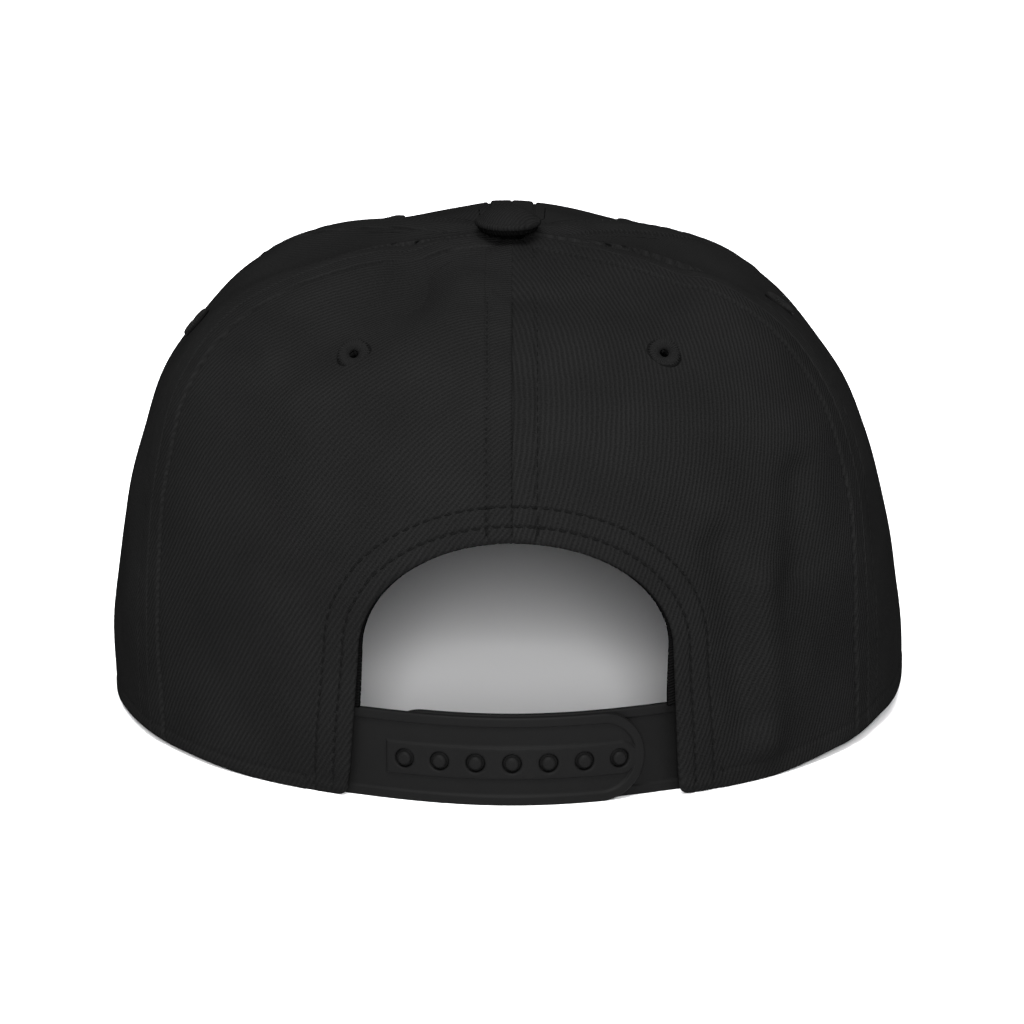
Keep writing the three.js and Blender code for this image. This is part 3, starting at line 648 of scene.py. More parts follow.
# %% The relief of seams, hems and rows
SEAM_ROW = 5.3
SEAM_LAP = 0.02
SEAM_MARGIN = 8.0
STRIP_RAISED = {"back": 0.32, "side": 0.32, "front": 0.12}
SEAM_FREE = {"back": 6.0, "side": 13.0, "front": 13.0}
FRONT_SHARE = 0.25
HEM_LEFT = 3.2
HEM_RIGHT = 4.2
BINDING = 8.4
WAVE = 0.16
FOLD_EXTRA = 1.2

# Depth and half width in mm of each kind of sunk line
SEAM_GROOVE = (0.30, 0.25)
ROW_GROOVE = (0.72, 0.42)
ARCH_GROOVE = (0.34, 0.40)
HEM_GROOVE = (0.16, 0.45)


def groove(away, size):
    """A sunk line: depth * bell(distance, half width)."""
    return size[0] * bell(away, size[1])


def seam_sink(away, along, raised, fade):
    """Depth of the cloth beside a seam: a fine groove, less a strip raised by the spare cloth,
    plus the row of stitches and faint puckers across it, the last three fading near the button."""
    strip = -raised * smooth((SEAM_ROW + 1.0 - away) / 1.2)
    row = groove(away - SEAM_ROW, ROW_GROOVE)
    pucker = 0.09 * np.sin(along * 1.3 + np.sin(along * 0.31) * 2) * bell(away - 4.6, 2.0)
    return groove(away, SEAM_GROOVE) + (strip + row + pucker) * fade


def cloth_sink(row, sign, turn, up, points, grain):
    """How far the drawn cloth lies inside the smooth crown: seams, which on the front panels are
    FRONT_SHARE as deep near the button, then the folds, the hem, faint waves and the arch's rows.
    The second value is the distance to the rim or the arch."""
    low, high = panel_seams(row, up)
    speed = round_speed(turn, up)
    folded = np.abs(turn)
    first = (folded - low) * speed
    second = (high - folded) * speed
    radius = np.hypot(points[..., 0], points[..., 1])
    fade = smooth((radius - SEAM_FREE[row]) / 4)
    sink = seam_sink(np.minimum(first, second), grain[..., 1], STRIP_RAISED[row], fade)
    if row == "front":
        sink = sink * mix(FRONT_SHARE, 1.0, smooth((radius - 30) / 20))
    facing = np.cos(turn) > 0
    sink = sink + FOLD_EXTRA * np.where(facing, fold_depth(points[..., 0], points[..., 2]), 0)
    from_rim = points[..., 2] - rim_height(turn)
    hem = HEM_LEFT if sign > 0 else HEM_RIGHT
    sink = sink + groove(from_rim - hem, HEM_GROOVE) - 0.10 * smooth((hem - from_rim) / 0.8)
    calm = smooth(np.minimum(first, second) / 9)
    waves = np.sin(grain[..., 0] * 0.17 + grain[..., 1] * 0.11 + 2.1 * sign)
    waves = waves + np.sin(grain[..., 0] * 0.09 - grain[..., 1] * 0.21 + 0.7)
    sink = sink + WAVE * waves * calm
    if row == "back":
        edge = arch_distance(points[..., 0], points[..., 2], sign)
        for place in ARCH_ROWS:
            sink = sink + groove(edge - place, ARCH_GROOVE)
        sink = sink - 0.20 * smooth(BINDING - edge)
        edge = np.minimum(edge, from_rim)
    else:
        edge = from_rim
    return sink, np.maximum(edge, 0)


def rounded(edge, radius):
    """Depth of a rounded edge: radius - sqrt(radius ** 2 - (radius - edge) ** 2)."""
    short = radius - np.clip(edge, 0, radius)
    return radius - np.sqrt(np.maximum(radius**2 - short**2, 0))


def thread_depth(row, sign, turn, up):
    """How deep a thread lies that is sewn to a panel: the depth of its drawn cloth at that spot."""
    grain = panel_grain(row, sign, turn, up)
    sink, edge = cloth_sink(row, sign, turn, up, crown(turn, up), grain)
    return sink * smooth(edge / 1.2)


def panel_faces(row, sign, turn, up, thick):
    """Outer and inner points of a panel's cloth and its grain, for arrays of turn and up."""
    points = crown(turn, up)
    out = crown_normal(turn, up)
    level = smooth(1 - (points[..., 2] - rim_height(turn)) / 1.5)
    out[..., 2] = out[..., 2] * (1 - level)
    out = out / np.linalg.norm(out, axis=-1, keepdims=True)
    grain = panel_grain(row, sign, turn, up)
    sink, edge = cloth_sink(row, sign, turn, up, points, grain)
    rounding = rounded(edge, thick / 2)
    relief = sink * smooth(edge / 1.2)
    outer = points - out * (relief + rounding)[..., None]
    inner = points - out * (thick - rounding)[..., None]
    if row == "back":
        away = arch_distance(points[..., 0], points[..., 2], sign)
        rise = rounded(away, CORNER_ROUND) * smooth(1 - points[..., 2] / 7)
        outer[..., 2] = outer[..., 2] + rise
        inner[..., 2] = inner[..., 2] + rise
    return outer, inner, grain


print(f"Rows {SEAM_ROW} mm from a seam, sunk {ROW_GROOVE[0]} mm")


# %% Side and front panels
PANEL_MIDDLE = {"back": math.radians(35), "side": math.radians(97), "front": math.radians(150)}


def top_level(turn):
    """The level where the panels end, just outside the button's stem."""
    points = crown(np.full(200, turn), np.linspace(0.9, 1, 200))
    radius = np.hypot(points[:, 0], points[:, 1])
    return float(np.interp(-BUTTON_HOLE_RADIUS, -radius, np.linspace(0.9, 1, 200)))


def level_rows(turn_line, start, top, **steps):
    """Levels from start to top, spread by the cloth's length between them."""
    lengths = line_length(turn_line)
    low = np.interp(start, LEVELS, lengths)
    high = np.interp(top, LEVELS, lengths)
    return np.interp(low + spread(high - low, **steps), lengths, LEVELS)


def beside_seams(base, width, low_away, high_away):
    """Shares of a panel's width for its columns: those that start within SEAM_MARGIN of a seam
    keep their distance from it, share = distance / width, less near the button where the panel
    narrows, and the columns between are shifted by a mix of what the outermost two are."""
    shrink = np.minimum(1, 0.42 * width / SEAM_MARGIN)
    low = int(np.max(np.nonzero(low_away <= SEAM_MARGIN)))
    high = int(np.min(np.nonzero(high_away <= SEAM_MARGIN)))
    by_low = low_away * shrink / width - base
    by_high = 1 - high_away * shrink / width - base
    number = np.arange(base.shape[1])
    between = np.clip((number - low) / (high - low), 0, 1)
    moved = mix(by_low[:, low:low + 1], by_high[:, high:high + 1], between)
    return base + np.where(number <= low, by_low, np.where(number >= high, by_high, moved))


def plain_panel(name, row, sign, thick):
    """Side or front panel: a grid between its two seams, from the rim to the button."""
    low, high = panel_seams(row, LEVELS)
    middle = sign * PANEL_MIDDLE[row]
    top = top_level(middle)
    levels = level_rows(sign * (low + high) / 2, 0.0, top, edge=6.0)
    width = float((high[0] - low[0]) * round_speed(middle, 0.0))
    places = spread(width, rows=(SEAM_ROW,))
    low, high = panel_seams(row, levels)
    speed = round_speed(sign * (low + high) / 2, levels)
    lap = SEAM_LAP / speed
    widths = ((high - low) * speed)[:, None]
    shares = beside_seams(places / width + 0 * widths, widths, places, width - places)
    turns = mix((low - lap)[:, None], (high + lap)[:, None], shares)
    up = np.broadcast_to(levels[:, None], turns.shape)
    outer, inner, grain = panel_faces(row, sign, sign * turns, up, thick)
    outer = outer.reshape(-1, 3)
    cells = pierced(cells_of(np.arange(turns.size).reshape(turns.shape)), outer, row, sign)
    points, faces = closed_shell(outer, inner.reshape(-1, 3), cells)
    grain = np.concatenate([grain.reshape(-1, 2)] * 2)
    piece = make_piece(name, points, faces, BLACK_TWILL, grain)
    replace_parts(piece, name.replace("_cloth", ""))
    return piece


panels = {}
for side, sign in (("left", 1), ("right", -1)):
    name = f"side_panel_{side}_cloth"
    panels[name] = plain_panel(name, "side", sign, CLOTH)
    name = f"front_panel_{side}_cloth"
    panels[name] = plain_panel(name, "front", sign, FRONT_CLOTH)

# %% [markdown]
# ## The back panels and the arch
# The opening at the back is cut out of both back panels and bound. A plain grid would cross the
# arch's edge in steps, so each back panel is two grids that share a line: a band 9 mm wide that
# follows the arch, whose rows are at set distances from the edge, and the rest of the panel above
# and beside it.

# %% Back panels
BAND_WIDTH = 9.0


def back_panel(name, sign):
    """A band of offsets of the arch's edge, then columns from the band and the rim to the top."""
    steps = spread(160.0, near=0.5, far=0.8, rows=(SEAM_ROW,))
    steps = steps[steps <= 80] / 80
    shares = 1 - np.append(steps[steps < 0.995], 1.0)
    offsets = spread(2 * BAND_WIDTH, far=0.45, rows=ARCH_ROWS)
    offsets = offsets[offsets < BAND_WIDTH - 0.2]
    offsets = np.append(offsets, BAND_WIDTH)
    x, z = arch_offset(shares[None, :], offsets[:, None], sign)
    z = np.where(shares[None, :] == 0, 0.0, z)
    x = np.where(shares[None, :] == 1, -SEAM_LAP, x)
    turn, up = find_on_crown(sign * x, z)
    band_turn = sign * turn
    rim_seam = float(panel_seams("back", 0.0)[1])
    foot_turn = band_turn[-1, -1]
    speed = float(round_speed((foot_turn + rim_seam) / 2, 0.0))
    rest = (rim_seam - foot_turn) * speed
    rim_places = rest - spread(2 * rest, edge=8.0, rows=(SEAM_ROW,))
    rim_places = rim_places[rim_places >= 0.2][::-1]
    rim_places = np.append(rim_places[rim_places < rest], rest)
    rim_turn = foot_turn + rim_places / speed
    start_turn = np.concatenate([band_turn[-1], rim_turn])
    start_up = np.concatenate([up[-1], np.zeros(len(rim_turn))])
    start_share = start_turn / panel_seams("back", start_up)[1]
    top = top_level(sign * PANEL_MIDDLE["back"])
    rows = spread(130.0, fine=0.12, edge=6.0) / 130.0
    levels = mix(start_up[None, :], top, rows[:, None])
    even = np.linspace(0, 1, len(start_share))
    share = mix(start_share[None, :], mix(even, start_share, 0.45)[None, :], smooth(rows)[:, None])
    seam = panel_seams("back", levels)[1]
    speeds = round_speed(sign * seam / 2, levels)
    lap = SEAM_LAP / speeds
    width = seam * speeds
    share = beside_seams(share, width, start_share * width[0], (1 - start_share) * width[0])
    main_turn = mix(-lap, seam + lap, np.clip(share, 0, 1))
    main_turn[0, :len(shares)] = band_turn[-1]
    turns = np.concatenate([band_turn.ravel(), main_turn[0, len(shares):], main_turn[1:].ravel()])
    ups = np.concatenate([up.ravel(), levels[0, len(shares):], levels[1:].ravel()])
    band_ids = np.arange(band_turn.size).reshape(band_turn.shape)
    first = np.concatenate([band_ids[-1], band_turn.size + np.arange(len(rim_turn))])
    other = band_turn.size + len(rim_turn) + np.arange(main_turn[1:].size)
    main_ids = np.concatenate([first[None, :], other.reshape(main_turn[1:].shape)])
    outer, inner, grain = panel_faces("back", sign, sign * turns, ups, CLOTH)
    cells = np.concatenate([cells_of(band_ids), cells_of(main_ids)])
    cells = pierced(cells, outer, "back", sign)
    points, faces = closed_shell(outer, inner, cells)
    piece = make_piece(name, points, faces, BLACK_TWILL, np.concatenate([grain] * 2))
    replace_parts(piece, name.replace("_cloth", ""))
    return piece


for side, sign in (("left", 1), ("right", -1)):
    name = f"back_panel_{side}_cloth"
    panels[name] = back_panel(name, sign)

# %% Areas of the drawn cloth
for name, piece in panels.items():
    print(f"{name}: {cloth_area(piece) * 1e4:.0f} square cm")

# %% [markdown]
# ## Stitches
# A lockstitch shows as short lengths of thread that dive into the cloth at both ends. Drawn as a
# bump they would look printed, so each is a small five-sided capsule, bent down at its ends. All
# the stitches of a row are made at once: one capsule's points are carried to every place along
# the line.

# %% Rows of stitches
STITCH_PITCH = 2.4
STITCH_LENGTH = 2.15
THREAD_RADIUS = 0.23
THREAD_LIFT = 0.06
ROW_END = 13.5
CENTRE_ROW_END = 8.2
print(f"Stitches {STITCH_LENGTH} mm long, {STITCH_PITCH} mm apart")


def stitch_mesh(lines, pitch=STITCH_PITCH, length=STITCH_LENGTH, radius=THREAD_RADIUS):
    """Points and faces of stitches along lines of (points, normals): ring i of a capsule lies at
    length * along[i], swells by thick[i] and sinks by along[i] ** 2 toward its ends."""
    along = np.array([-0.5, -0.36, 0.0, 0.36, 0.5])
    thick = np.array([0.35, 0.85, 1.0, 0.85, 0.35])
    angle = np.arange(5) * 2 * np.pi / 5
    sunk = 4 * along**2 * 0.30
    points = []
    for places, normals in lines:
        steps = np.linalg.norm(np.diff(places, axis=0), axis=1)
        run = np.concatenate([[0], np.cumsum(steps)])
        count = int(run[-1] / pitch)
        if count < 1:
            continue
        centres = (np.arange(count) + 0.5) * pitch
        at = np.stack([np.interp(centres, run, places[:, k]) for k in range(3)], -1)
        out = np.stack([np.interp(centres, run, normals[:, k]) for k in range(3)], -1)
        ahead = np.stack([np.interp(centres + 0.3, run, places[:, k]) for k in range(3)], -1)
        behind = np.stack([np.interp(centres - 0.3, run, places[:, k]) for k in range(3)], -1)
        way = ahead - behind
        way = way / np.linalg.norm(way, axis=1, keepdims=True)
        out = out - way * np.sum(out * way, axis=1, keepdims=True)
        out = out / np.linalg.norm(out, axis=1, keepdims=True)
        side = np.cross(way, out)
        rings = at[:, None, None, :] + way[:, None, None, :] * (along * length)[None, :, None, None]
        wide = (thick[:, None] * np.cos(angle)[None, :] * radius * 1.15)[None, :, :, None]
        tall = (thick[:, None] * np.sin(angle)[None, :] * radius - sunk[:, None])[None, :, :, None]
        rings = rings + side[:, None, None, :] * wide + out[:, None, None, :] * tall
        points.append(rings.reshape(-1, 3))
    points = np.concatenate(points)
    base = np.arange(25).reshape(5, 5)
    ring = np.concatenate([base, base[:, :1]], axis=1)
    quads = cells_of(ring)
    starts = np.arange(len(points) // 25) * 25
    faces = (quads[None] + starts[:, None, None]).reshape(-1, 4)
    caps = [f for s in starts for f in ((s + base[0]), (s + base[-1]))]
    return points, faces, caps


def stitch_piece(name, lines, **sizes):
    """One piece holding every stitch of several rows."""
    points, faces, caps = stitch_mesh(lines, **sizes)
    return make_piece(name, points, faces, BLACK_THREAD_WITH_ROW_SHADE, extra=caps)


def seam_line(row, which, sign, way, start=0.0):
    """Points and normals of a row sewn to a panel beside its seam 0 or 1, on its turn's side
    (way 1) or before it (way -1), from the rim or the arch up, ending short of the button. The
    rows beside the centre seam of the back go further up and stand out by THREAD_LIFT."""
    levels = np.linspace(start, 0.985, 900)
    seam = panel_seams(row, levels)[which]
    turns = sign * (seam + way * SEAM_ROW / round_speed(sign * seam, levels))
    points = crown(turns, levels)
    normals = crown_normal(turns, levels)
    depth = thread_depth(row, sign, turns, levels)
    end = ROW_END
    if row == "back" and which == 0:
        depth = depth - THREAD_LIFT
        end = CENTRE_ROW_END
    radius = np.hypot(points[:, 0], points[:, 1])
    keep = (radius > end) & (points[:, 2] > rim_height(turns) + 1.0)
    return (points - normals * depth[:, None])[keep], normals[keep]


arch_top_level = float(find_on_crown(np.array([0.0]), np.array([ARCH_HEIGHT]))[1][0])
back_rows = []
side_rows = []
for sign in (1, -1):
    back_rows.append(seam_line("back", 0, sign, 1, arch_top_level + 0.012))
    side_rows.append(seam_line("back", 1, sign, -1))
    side_rows.append(seam_line("side", 0, sign, 1))
    side_rows.append(seam_line("side", 1, sign, -1))
    side_rows.append(seam_line("front", 0, sign, 1))
    side_rows.append(seam_line("front", 1, sign, -1))
stitch_piece("stitches_back_seam", back_rows)
stitch_piece("stitches_crown_seams", side_rows)


# %% Stitches round the arch
def arch_line(offset):
    """The arch's edge moved out by an offset, from the right foot over the top to the left."""
    shares = np.linspace(0.03, 1, 500)
    turns = []
    levels = []
    depths = []
    for side in (-1, 1):
        x, z = arch_offset(shares, offset, side)
        keep = z > 1.5
        turn, up = find_on_crown(side * x[keep], z[keep])
        turns.append(turn[::-side])
        levels.append(up[::-side])
        depths.append(thread_depth("back", side, turn, up)[::-side])
    turns = np.concatenate(turns)
    levels = np.concatenate(levels)
    normals = crown_normal(turns, levels)
    return crown(turns, levels) - normals * (np.concatenate(depths) - THREAD_LIFT)[:, None], normals


stitch_piece("stitches_arch", [arch_line(offset) for offset in ARCH_ROWS])

# %% [markdown]
# ## Eyelets and button
# Each panel has a vent hole bound with embroidery: threads laid side by side like spokes over a
# cord of underlay stitches. The ring is a profile turned about the cloth's normal, with its height
# and edge rippled once for each thread; a near-black cord round its foot is painted shade. The
# button is a metal cap pressed into a disc of the same cloth, which gathers into small pleats under
# its edge; that gathered wall is drawn in a darker twill as painted shade.

# %% Turned pieces
def turned(profile, count, ripple=None):
    """Points of a profile of (radius, height) turned about z; ripple(angle, radius, height) may
    move them. The last column meets the first, so the ring is closed."""
    angle = np.arange(count) * 2 * np.pi / count
    radius = np.broadcast_to(profile[:, 0][:, None], (len(profile), count))
    height = np.broadcast_to(profile[:, 1][:, None], (len(profile), count))
    around = np.broadcast_to(angle[None, :], radius.shape)
    if ripple is not None:
        radius, height = ripple(around, radius, height)
    points = np.stack([radius * np.cos(around), radius * np.sin(around), height], -1)
    ids = np.arange(points.shape[0] * count).reshape(points.shape[0], count)
    return points.reshape(-1, 3), np.concatenate([ids, ids[:, :1]], axis=1)


def stand_on(points, origin, axis):
    """Turn points made about z so that z points along axis at the origin."""
    side = np.cross([0.0, 0.0, 1.0], axis)
    side = side / np.linalg.norm(side)
    ahead = np.cross(axis, side)
    return origin + points[:, :1] * side + points[:, 1:2] * ahead + points[:, 2:3] * axis


print("A profile of 3 points turned in 8 steps has", len(turned(np.ones((3, 2)), 8)[0]), "points")


# %% Sewn rings
RING_MIDDLE = (EYELET_RADIUS + EYELET_BORE) / 2
RING_HALF = (EYELET_RADIUS - EYELET_BORE) / 2
RING_THREADS = 34

# The rings on the back lean away from the slope of the cloth, toward the viewer behind
BACK_LEAN = np.array([0.4, 1.0, 0.42])
random = np.random.default_rng(7)


def ring_thread(name, origin, axis, thick, uneven):
    """A closed ring: half * (cos, 0.6 * sin) over the cloth, a bore through it and a foot behind."""
    arc = np.linspace(-0.5, np.pi, 17)
    dome = np.stack([RING_MIDDLE + RING_HALF * np.cos(arc), 0.35 + 0.6 * np.sin(arc)], -1)
    bore = np.array([[EYELET_BORE + 0.05, 0.0], [EYELET_BORE + 0.7, -thick - 0.25],
                     [EYELET_BORE + 1.0, -thick - 0.5], [EYELET_RADIUS - 0.3, -thick - 0.4]])
    under = np.array([[EYELET_RADIUS - 0.45, -0.9], [EYELET_RADIUS - 0.4, -0.3]])

    def spokes(around, radius, height):
        """Height rippled as 0.5 + 0.5 * cos(threads * angle), and the outer edge made ragged."""
        wave = 0.5 + 0.5 * np.cos(RING_THREADS * around)
        number = np.floor(around / (2 * np.pi) * RING_THREADS + 0.5).astype(int) % RING_THREADS
        outer = smooth((radius - RING_MIDDLE) / RING_HALF)
        return radius + outer * (0.34 * wave + uneven[number] - 0.2), height + 0.16 * wave * (height > 0)

    points, ids = turned(np.concatenate([under, dome, bore]), RING_THREADS * 6, spokes)
    faces = np.concatenate([cells_of(ids), cells_of(np.stack([ids[-1], ids[0]]))])
    return make_piece(name, stand_on(points, origin, axis), faces, EMBROIDERY)


def ring_shade_cord(name, origin, axis):
    """A dark cord at the ring's foot, painted shade round the eyelet: an oval section turned about the
    axis.
    """
    arc = np.arange(12) * 2 * np.pi / 12
    cord = np.stack([EYELET_RADIUS - 0.05 + 0.4 * np.cos(arc), 0.05 + 0.26 * np.sin(arc)], -1)
    points, ids = turned(cord, 72)
    faces = np.concatenate([cells_of(ids), cells_of(np.stack([ids[-1], ids[0]]))])
    return make_piece(name, stand_on(points, origin, axis), faces, EYELET_SHADE_CORD)


for name, (sign, row, _, _) in EYELETS.items():
    turn, level = eyelet_spot(name)
    depth = thread_depth(row, sign, np.array([turn]), np.array([level]))[0]
    square = crown_normal(turn, level)
    origin = crown(turn, level) - square * (depth - 0.12)
    axis = square * (BACK_LEAN if row == "back" else 1.0)
    axis = axis / np.linalg.norm(axis)
    thick = FRONT_CLOTH if row == "front" else CLOTH
    uneven = random.uniform(-0.12, 0.12, RING_THREADS)
    made = ring_thread(f"eyelet_{name}_thread", origin, axis, thick, uneven)
    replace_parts(made, f"eyelet_{name}")
    # The dark cord round the ring's foot is painted shade.
    lean = (axis + 2 * square) / np.linalg.norm(axis + 2 * square)
    made = ring_shade_cord(f"eyelet_{name}_shade_cord", origin, lean)
    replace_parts(made, f"eyelet_{name}")

# %% Button
BUTTON_RADIUS = 7.3
BUTTON_RISE = 4.4
BUTTON_ASIDE = 0.9
BUTTON_SHOULDER = 2.05
BUTTON_PLEATS = 26


def button_cloth():
    """A dome of cloth, height shoulder + (rise - shoulder) * (1 - (r / R) ** 2.6), turned over its
    edge; then the wall below, gathered in pleats that run down to the crown, and the stem."""
    low = CROWN_HEIGHT + GAP
    over = np.linspace(0.02, 1.0, 22)
    centre = BUTTON_RADIUS - 0.95
    height = BUTTON_SHOULDER + (BUTTON_RISE - BUTTON_SHOULDER) * (1 - over**2.6)
    dome = np.stack([centre * over, low + height], -1)
    turn = np.linspace(0.4, 2.2, 12)
    edge = np.stack([centre + 0.15 + 0.8 * np.sin(turn), low + 1.2 + 0.85 * np.cos(turn)], -1)
    tucked = np.array([[6.4, low + 0.75], [6.0, low + 0.9], [0.3, low + 0.9]])
    wall = np.array([[6.2, low + 1.0], [6.88, low + 0.95], [6.86, low + 0.7], [6.8, low + 0.45],
                     [6.7, low + 0.15], [6.55, low - 0.15], [6.35, low - 0.4], [6.0, low - 0.7],
                     [2.4, low - 0.7], [2.4, low - 2.4], [0.3, low - 2.4]])

    def gathers(around, radius, height):
        """Pleats in the wall: radius less 0.2 * (0.5 + 0.5 * cos(pleats * angle)) below the turn."""
        folds = 0.5 + 0.5 * np.cos(BUTTON_PLEATS * around + np.sin(3 * around))
        below = smooth((low + 0.9 - height) / 0.8) * smooth((radius - 3) / 3)
        return radius - 0.2 * folds * below, height

    aside = np.array([BUTTON_ASIDE, 0, 0])
    top, top_ids = turned(np.concatenate([dome, edge, tucked]), 132)
    skirt, skirt_ids = turned(wall, 156, gathers)
    return (top + aside, top_ids), (skirt + aside, skirt_ids)


# The gathered wall takes the darker twill, which is painted shade in the gap under the button's edge.
button_parts = zip(("top_button_cloth", "top_button_shaded_gathers"), (BLACK_TWILL, SHADED_TWILL_UNDER_BUTTON),
                   button_cloth())
for name, material, (points, ids) in button_parts:
    made = make_piece(name, points, cells_of(ids), material, points[:, :2] * 1.5,
                      extra=[ids[0, :-1], ids[-1, :-1]])
    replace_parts(made, "top_button")

# %% [markdown]
# ## The snap strap
# Two moulded plates overlap: the outer one has seven holes in a raised track, the inner one seven
# pegs. A strap with a border, a track and round holes would be a job for booleans, which leave
# ragged facets. Here a plain grid is warped: rings of square cells round each hole are drawn onto
# circles, and the square end is drawn onto a half disc, so every edge of the relief lies on a line
# of the grid.

# %% Sizes of the strap
STRAP_HEIGHT = 19.5
STRAP_THICK = 1.6
STRAP_BORDER = 2.0
STRAP_RELIEF = 0.45
STRAP_TUCK = 10.5
STRAP_DEPTH_MID = 0.5
STRAP_CLEAR = 0.6
OUTER_BEYOND = 5.8
INNER_BEYOND = 6.2
PEGS = 7
PEG_PITCH = 7.75
HOLE_RADIUS = 2.0
TRACK_HEIGHT = 7.0
TRACK_MARGIN = 4.0
TRACK_DROP = 0.4
LAST_PEG = (PEGS - 1) / 2 * PEG_PITCH
STRAP_MIDDLE = STRAP_HEIGHT / 2
HOLE_HEIGHT = STRAP_MIDDLE - TRACK_DROP
HOLE_PLACES = np.arange(PEGS) * PEG_PITCH - LAST_PEG
print(f"Strap {STRAP_HEIGHT} mm high, {PEGS} pegs {PEG_PITCH} mm apart")


# %% The strap's bend
def foot_turn_of(side, beyond):
    """Turn of the rim a distance beyond the arch's foot: asin((foot half + beyond) / half width)."""
    return np.arcsin((arch_size(side, "foot_half") + beyond) / side_half(side))


def strap_point(s, z, depth):
    """Point of the strap at a distance s round the back, a height z and a depth inside its face:
    the rim's oval, moved in by a bow that is least in the middle."""
    width = side_half(s)
    turn = np.zeros_like(s)
    for _ in range(24):
        turn = turn + s / 24 / np.hypot(width * np.cos(turn), BACK_LENGTH * np.sin(turn))
    rim = np.stack([width * np.sin(turn), BACK_LENGTH * np.cos(turn), z], -1)
    out = np.stack([np.sin(turn) / width, np.cos(turn) / BACK_LENGTH, 0 * turn], -1)
    out = out / np.linalg.norm(out, axis=-1, keepdims=True)
    bow = mix(STRAP_DEPTH_MID, CLOTH + STRAP_CLEAR, smooth(np.abs(turn) / foot_turn_of(s, 0)))
    return rim - out * (bow + depth)[..., None], out


def strap_end(side):
    """Distance from the middle of the back to the sewn end on one side."""
    return float(foot_turn_of(side, 0) * side_half(side)) + STRAP_TUCK


print(f"Sewn ends {strap_end(1):.1f} mm left and {strap_end(-1):.1f} mm right of the middle")


# %% Grid lines of a plate, its round end and its edge
def grid_lines(groups, low, high, step):
    """Grid lines: every named place, thinned to 0.07 mm, with the wide gaps filled evenly."""
    low = round(low, 3)
    high = round(high, 3)
    places = np.unique(np.round(np.concatenate([np.array(g, float) for g in groups] + [[low, high]]), 3))
    places = places[(places >= low) & (places <= high)]
    kept = [places[0]]
    for place in places[1:]:
        if place - kept[-1] >= 0.07 or place == high:
            kept.append(place)
    lines = []
    for a, b in zip(kept[:-1], kept[1:]):
        lines.extend(np.linspace(a, b, max(1, math.ceil((b - a) / step)), endpoint=False))
    return np.array(lines + [kept[-1]])


EDGE_LINES = np.array([0, 0.08, 0.2, 0.36, 0.6, 1.0, 1.5, 1.8, 1.95, 2.05, 2.15, 2.25, 2.4, 2.8])
HOLE_LINES = np.array([0, 0.5, 1.0, 1.5, 1.8, 2.0, 2.06, 2.14, 2.24, 2.4, 2.65, 2.95, 3.3])


print(len(EDGE_LINES), "lines at each edge and", len(HOLE_LINES), "at each side of a hole's centre")


def warp_end(s, z, tip, way):
    """Draw the square end onto a half disc: a point at offset (a, b) from the disc's centre moves
    along its ray to a circle of radius max(a, |b|), fully near the edge and not at all inside."""
    half = STRAP_MIDDLE
    centre = tip - way * half
    a = np.maximum((s - centre) * way, 0)
    b = z - STRAP_MIDDLE
    square = np.maximum(a, np.abs(b))
    circle = np.maximum(np.hypot(a, b), 1e-6)
    weight = smooth((square - 3.0) / 4.6)
    scale = np.where(a > 0, mix(1.0, square / circle, weight), 1.0)
    return np.where(a > 0, centre + way * a * scale, s), STRAP_MIDDLE + b * scale


def edge_inside(s, z, tip, way, sewn):
    """Distance inside the strap's outline: straight edges, a half disc at the tip, the sewn end."""
    half = STRAP_MIDDLE
    centre = tip - way * half
    straight = half - np.abs(z - STRAP_MIDDLE)
    disc = half - np.hypot(s - centre, z - STRAP_MIDDLE)
    inside = np.where((s - centre) * way > 0, disc, straight)
    return np.minimum(inside, np.abs(s - sewn))


# %% Outer strap with its holes
def track_inside(s, z):
    """Distance inside the raised track, whose end toward the tip is round and the other square."""
    half = TRACK_HEIGHT / 2
    reach = LAST_PEG + TRACK_MARGIN
    straight = half - np.abs(z - HOLE_HEIGHT)
    centre = -reach + half
    disc = half - np.hypot(s - centre, z - HOLE_HEIGHT)
    inside = np.where(s < centre, disc, straight)
    return np.minimum(inside, reach - s)


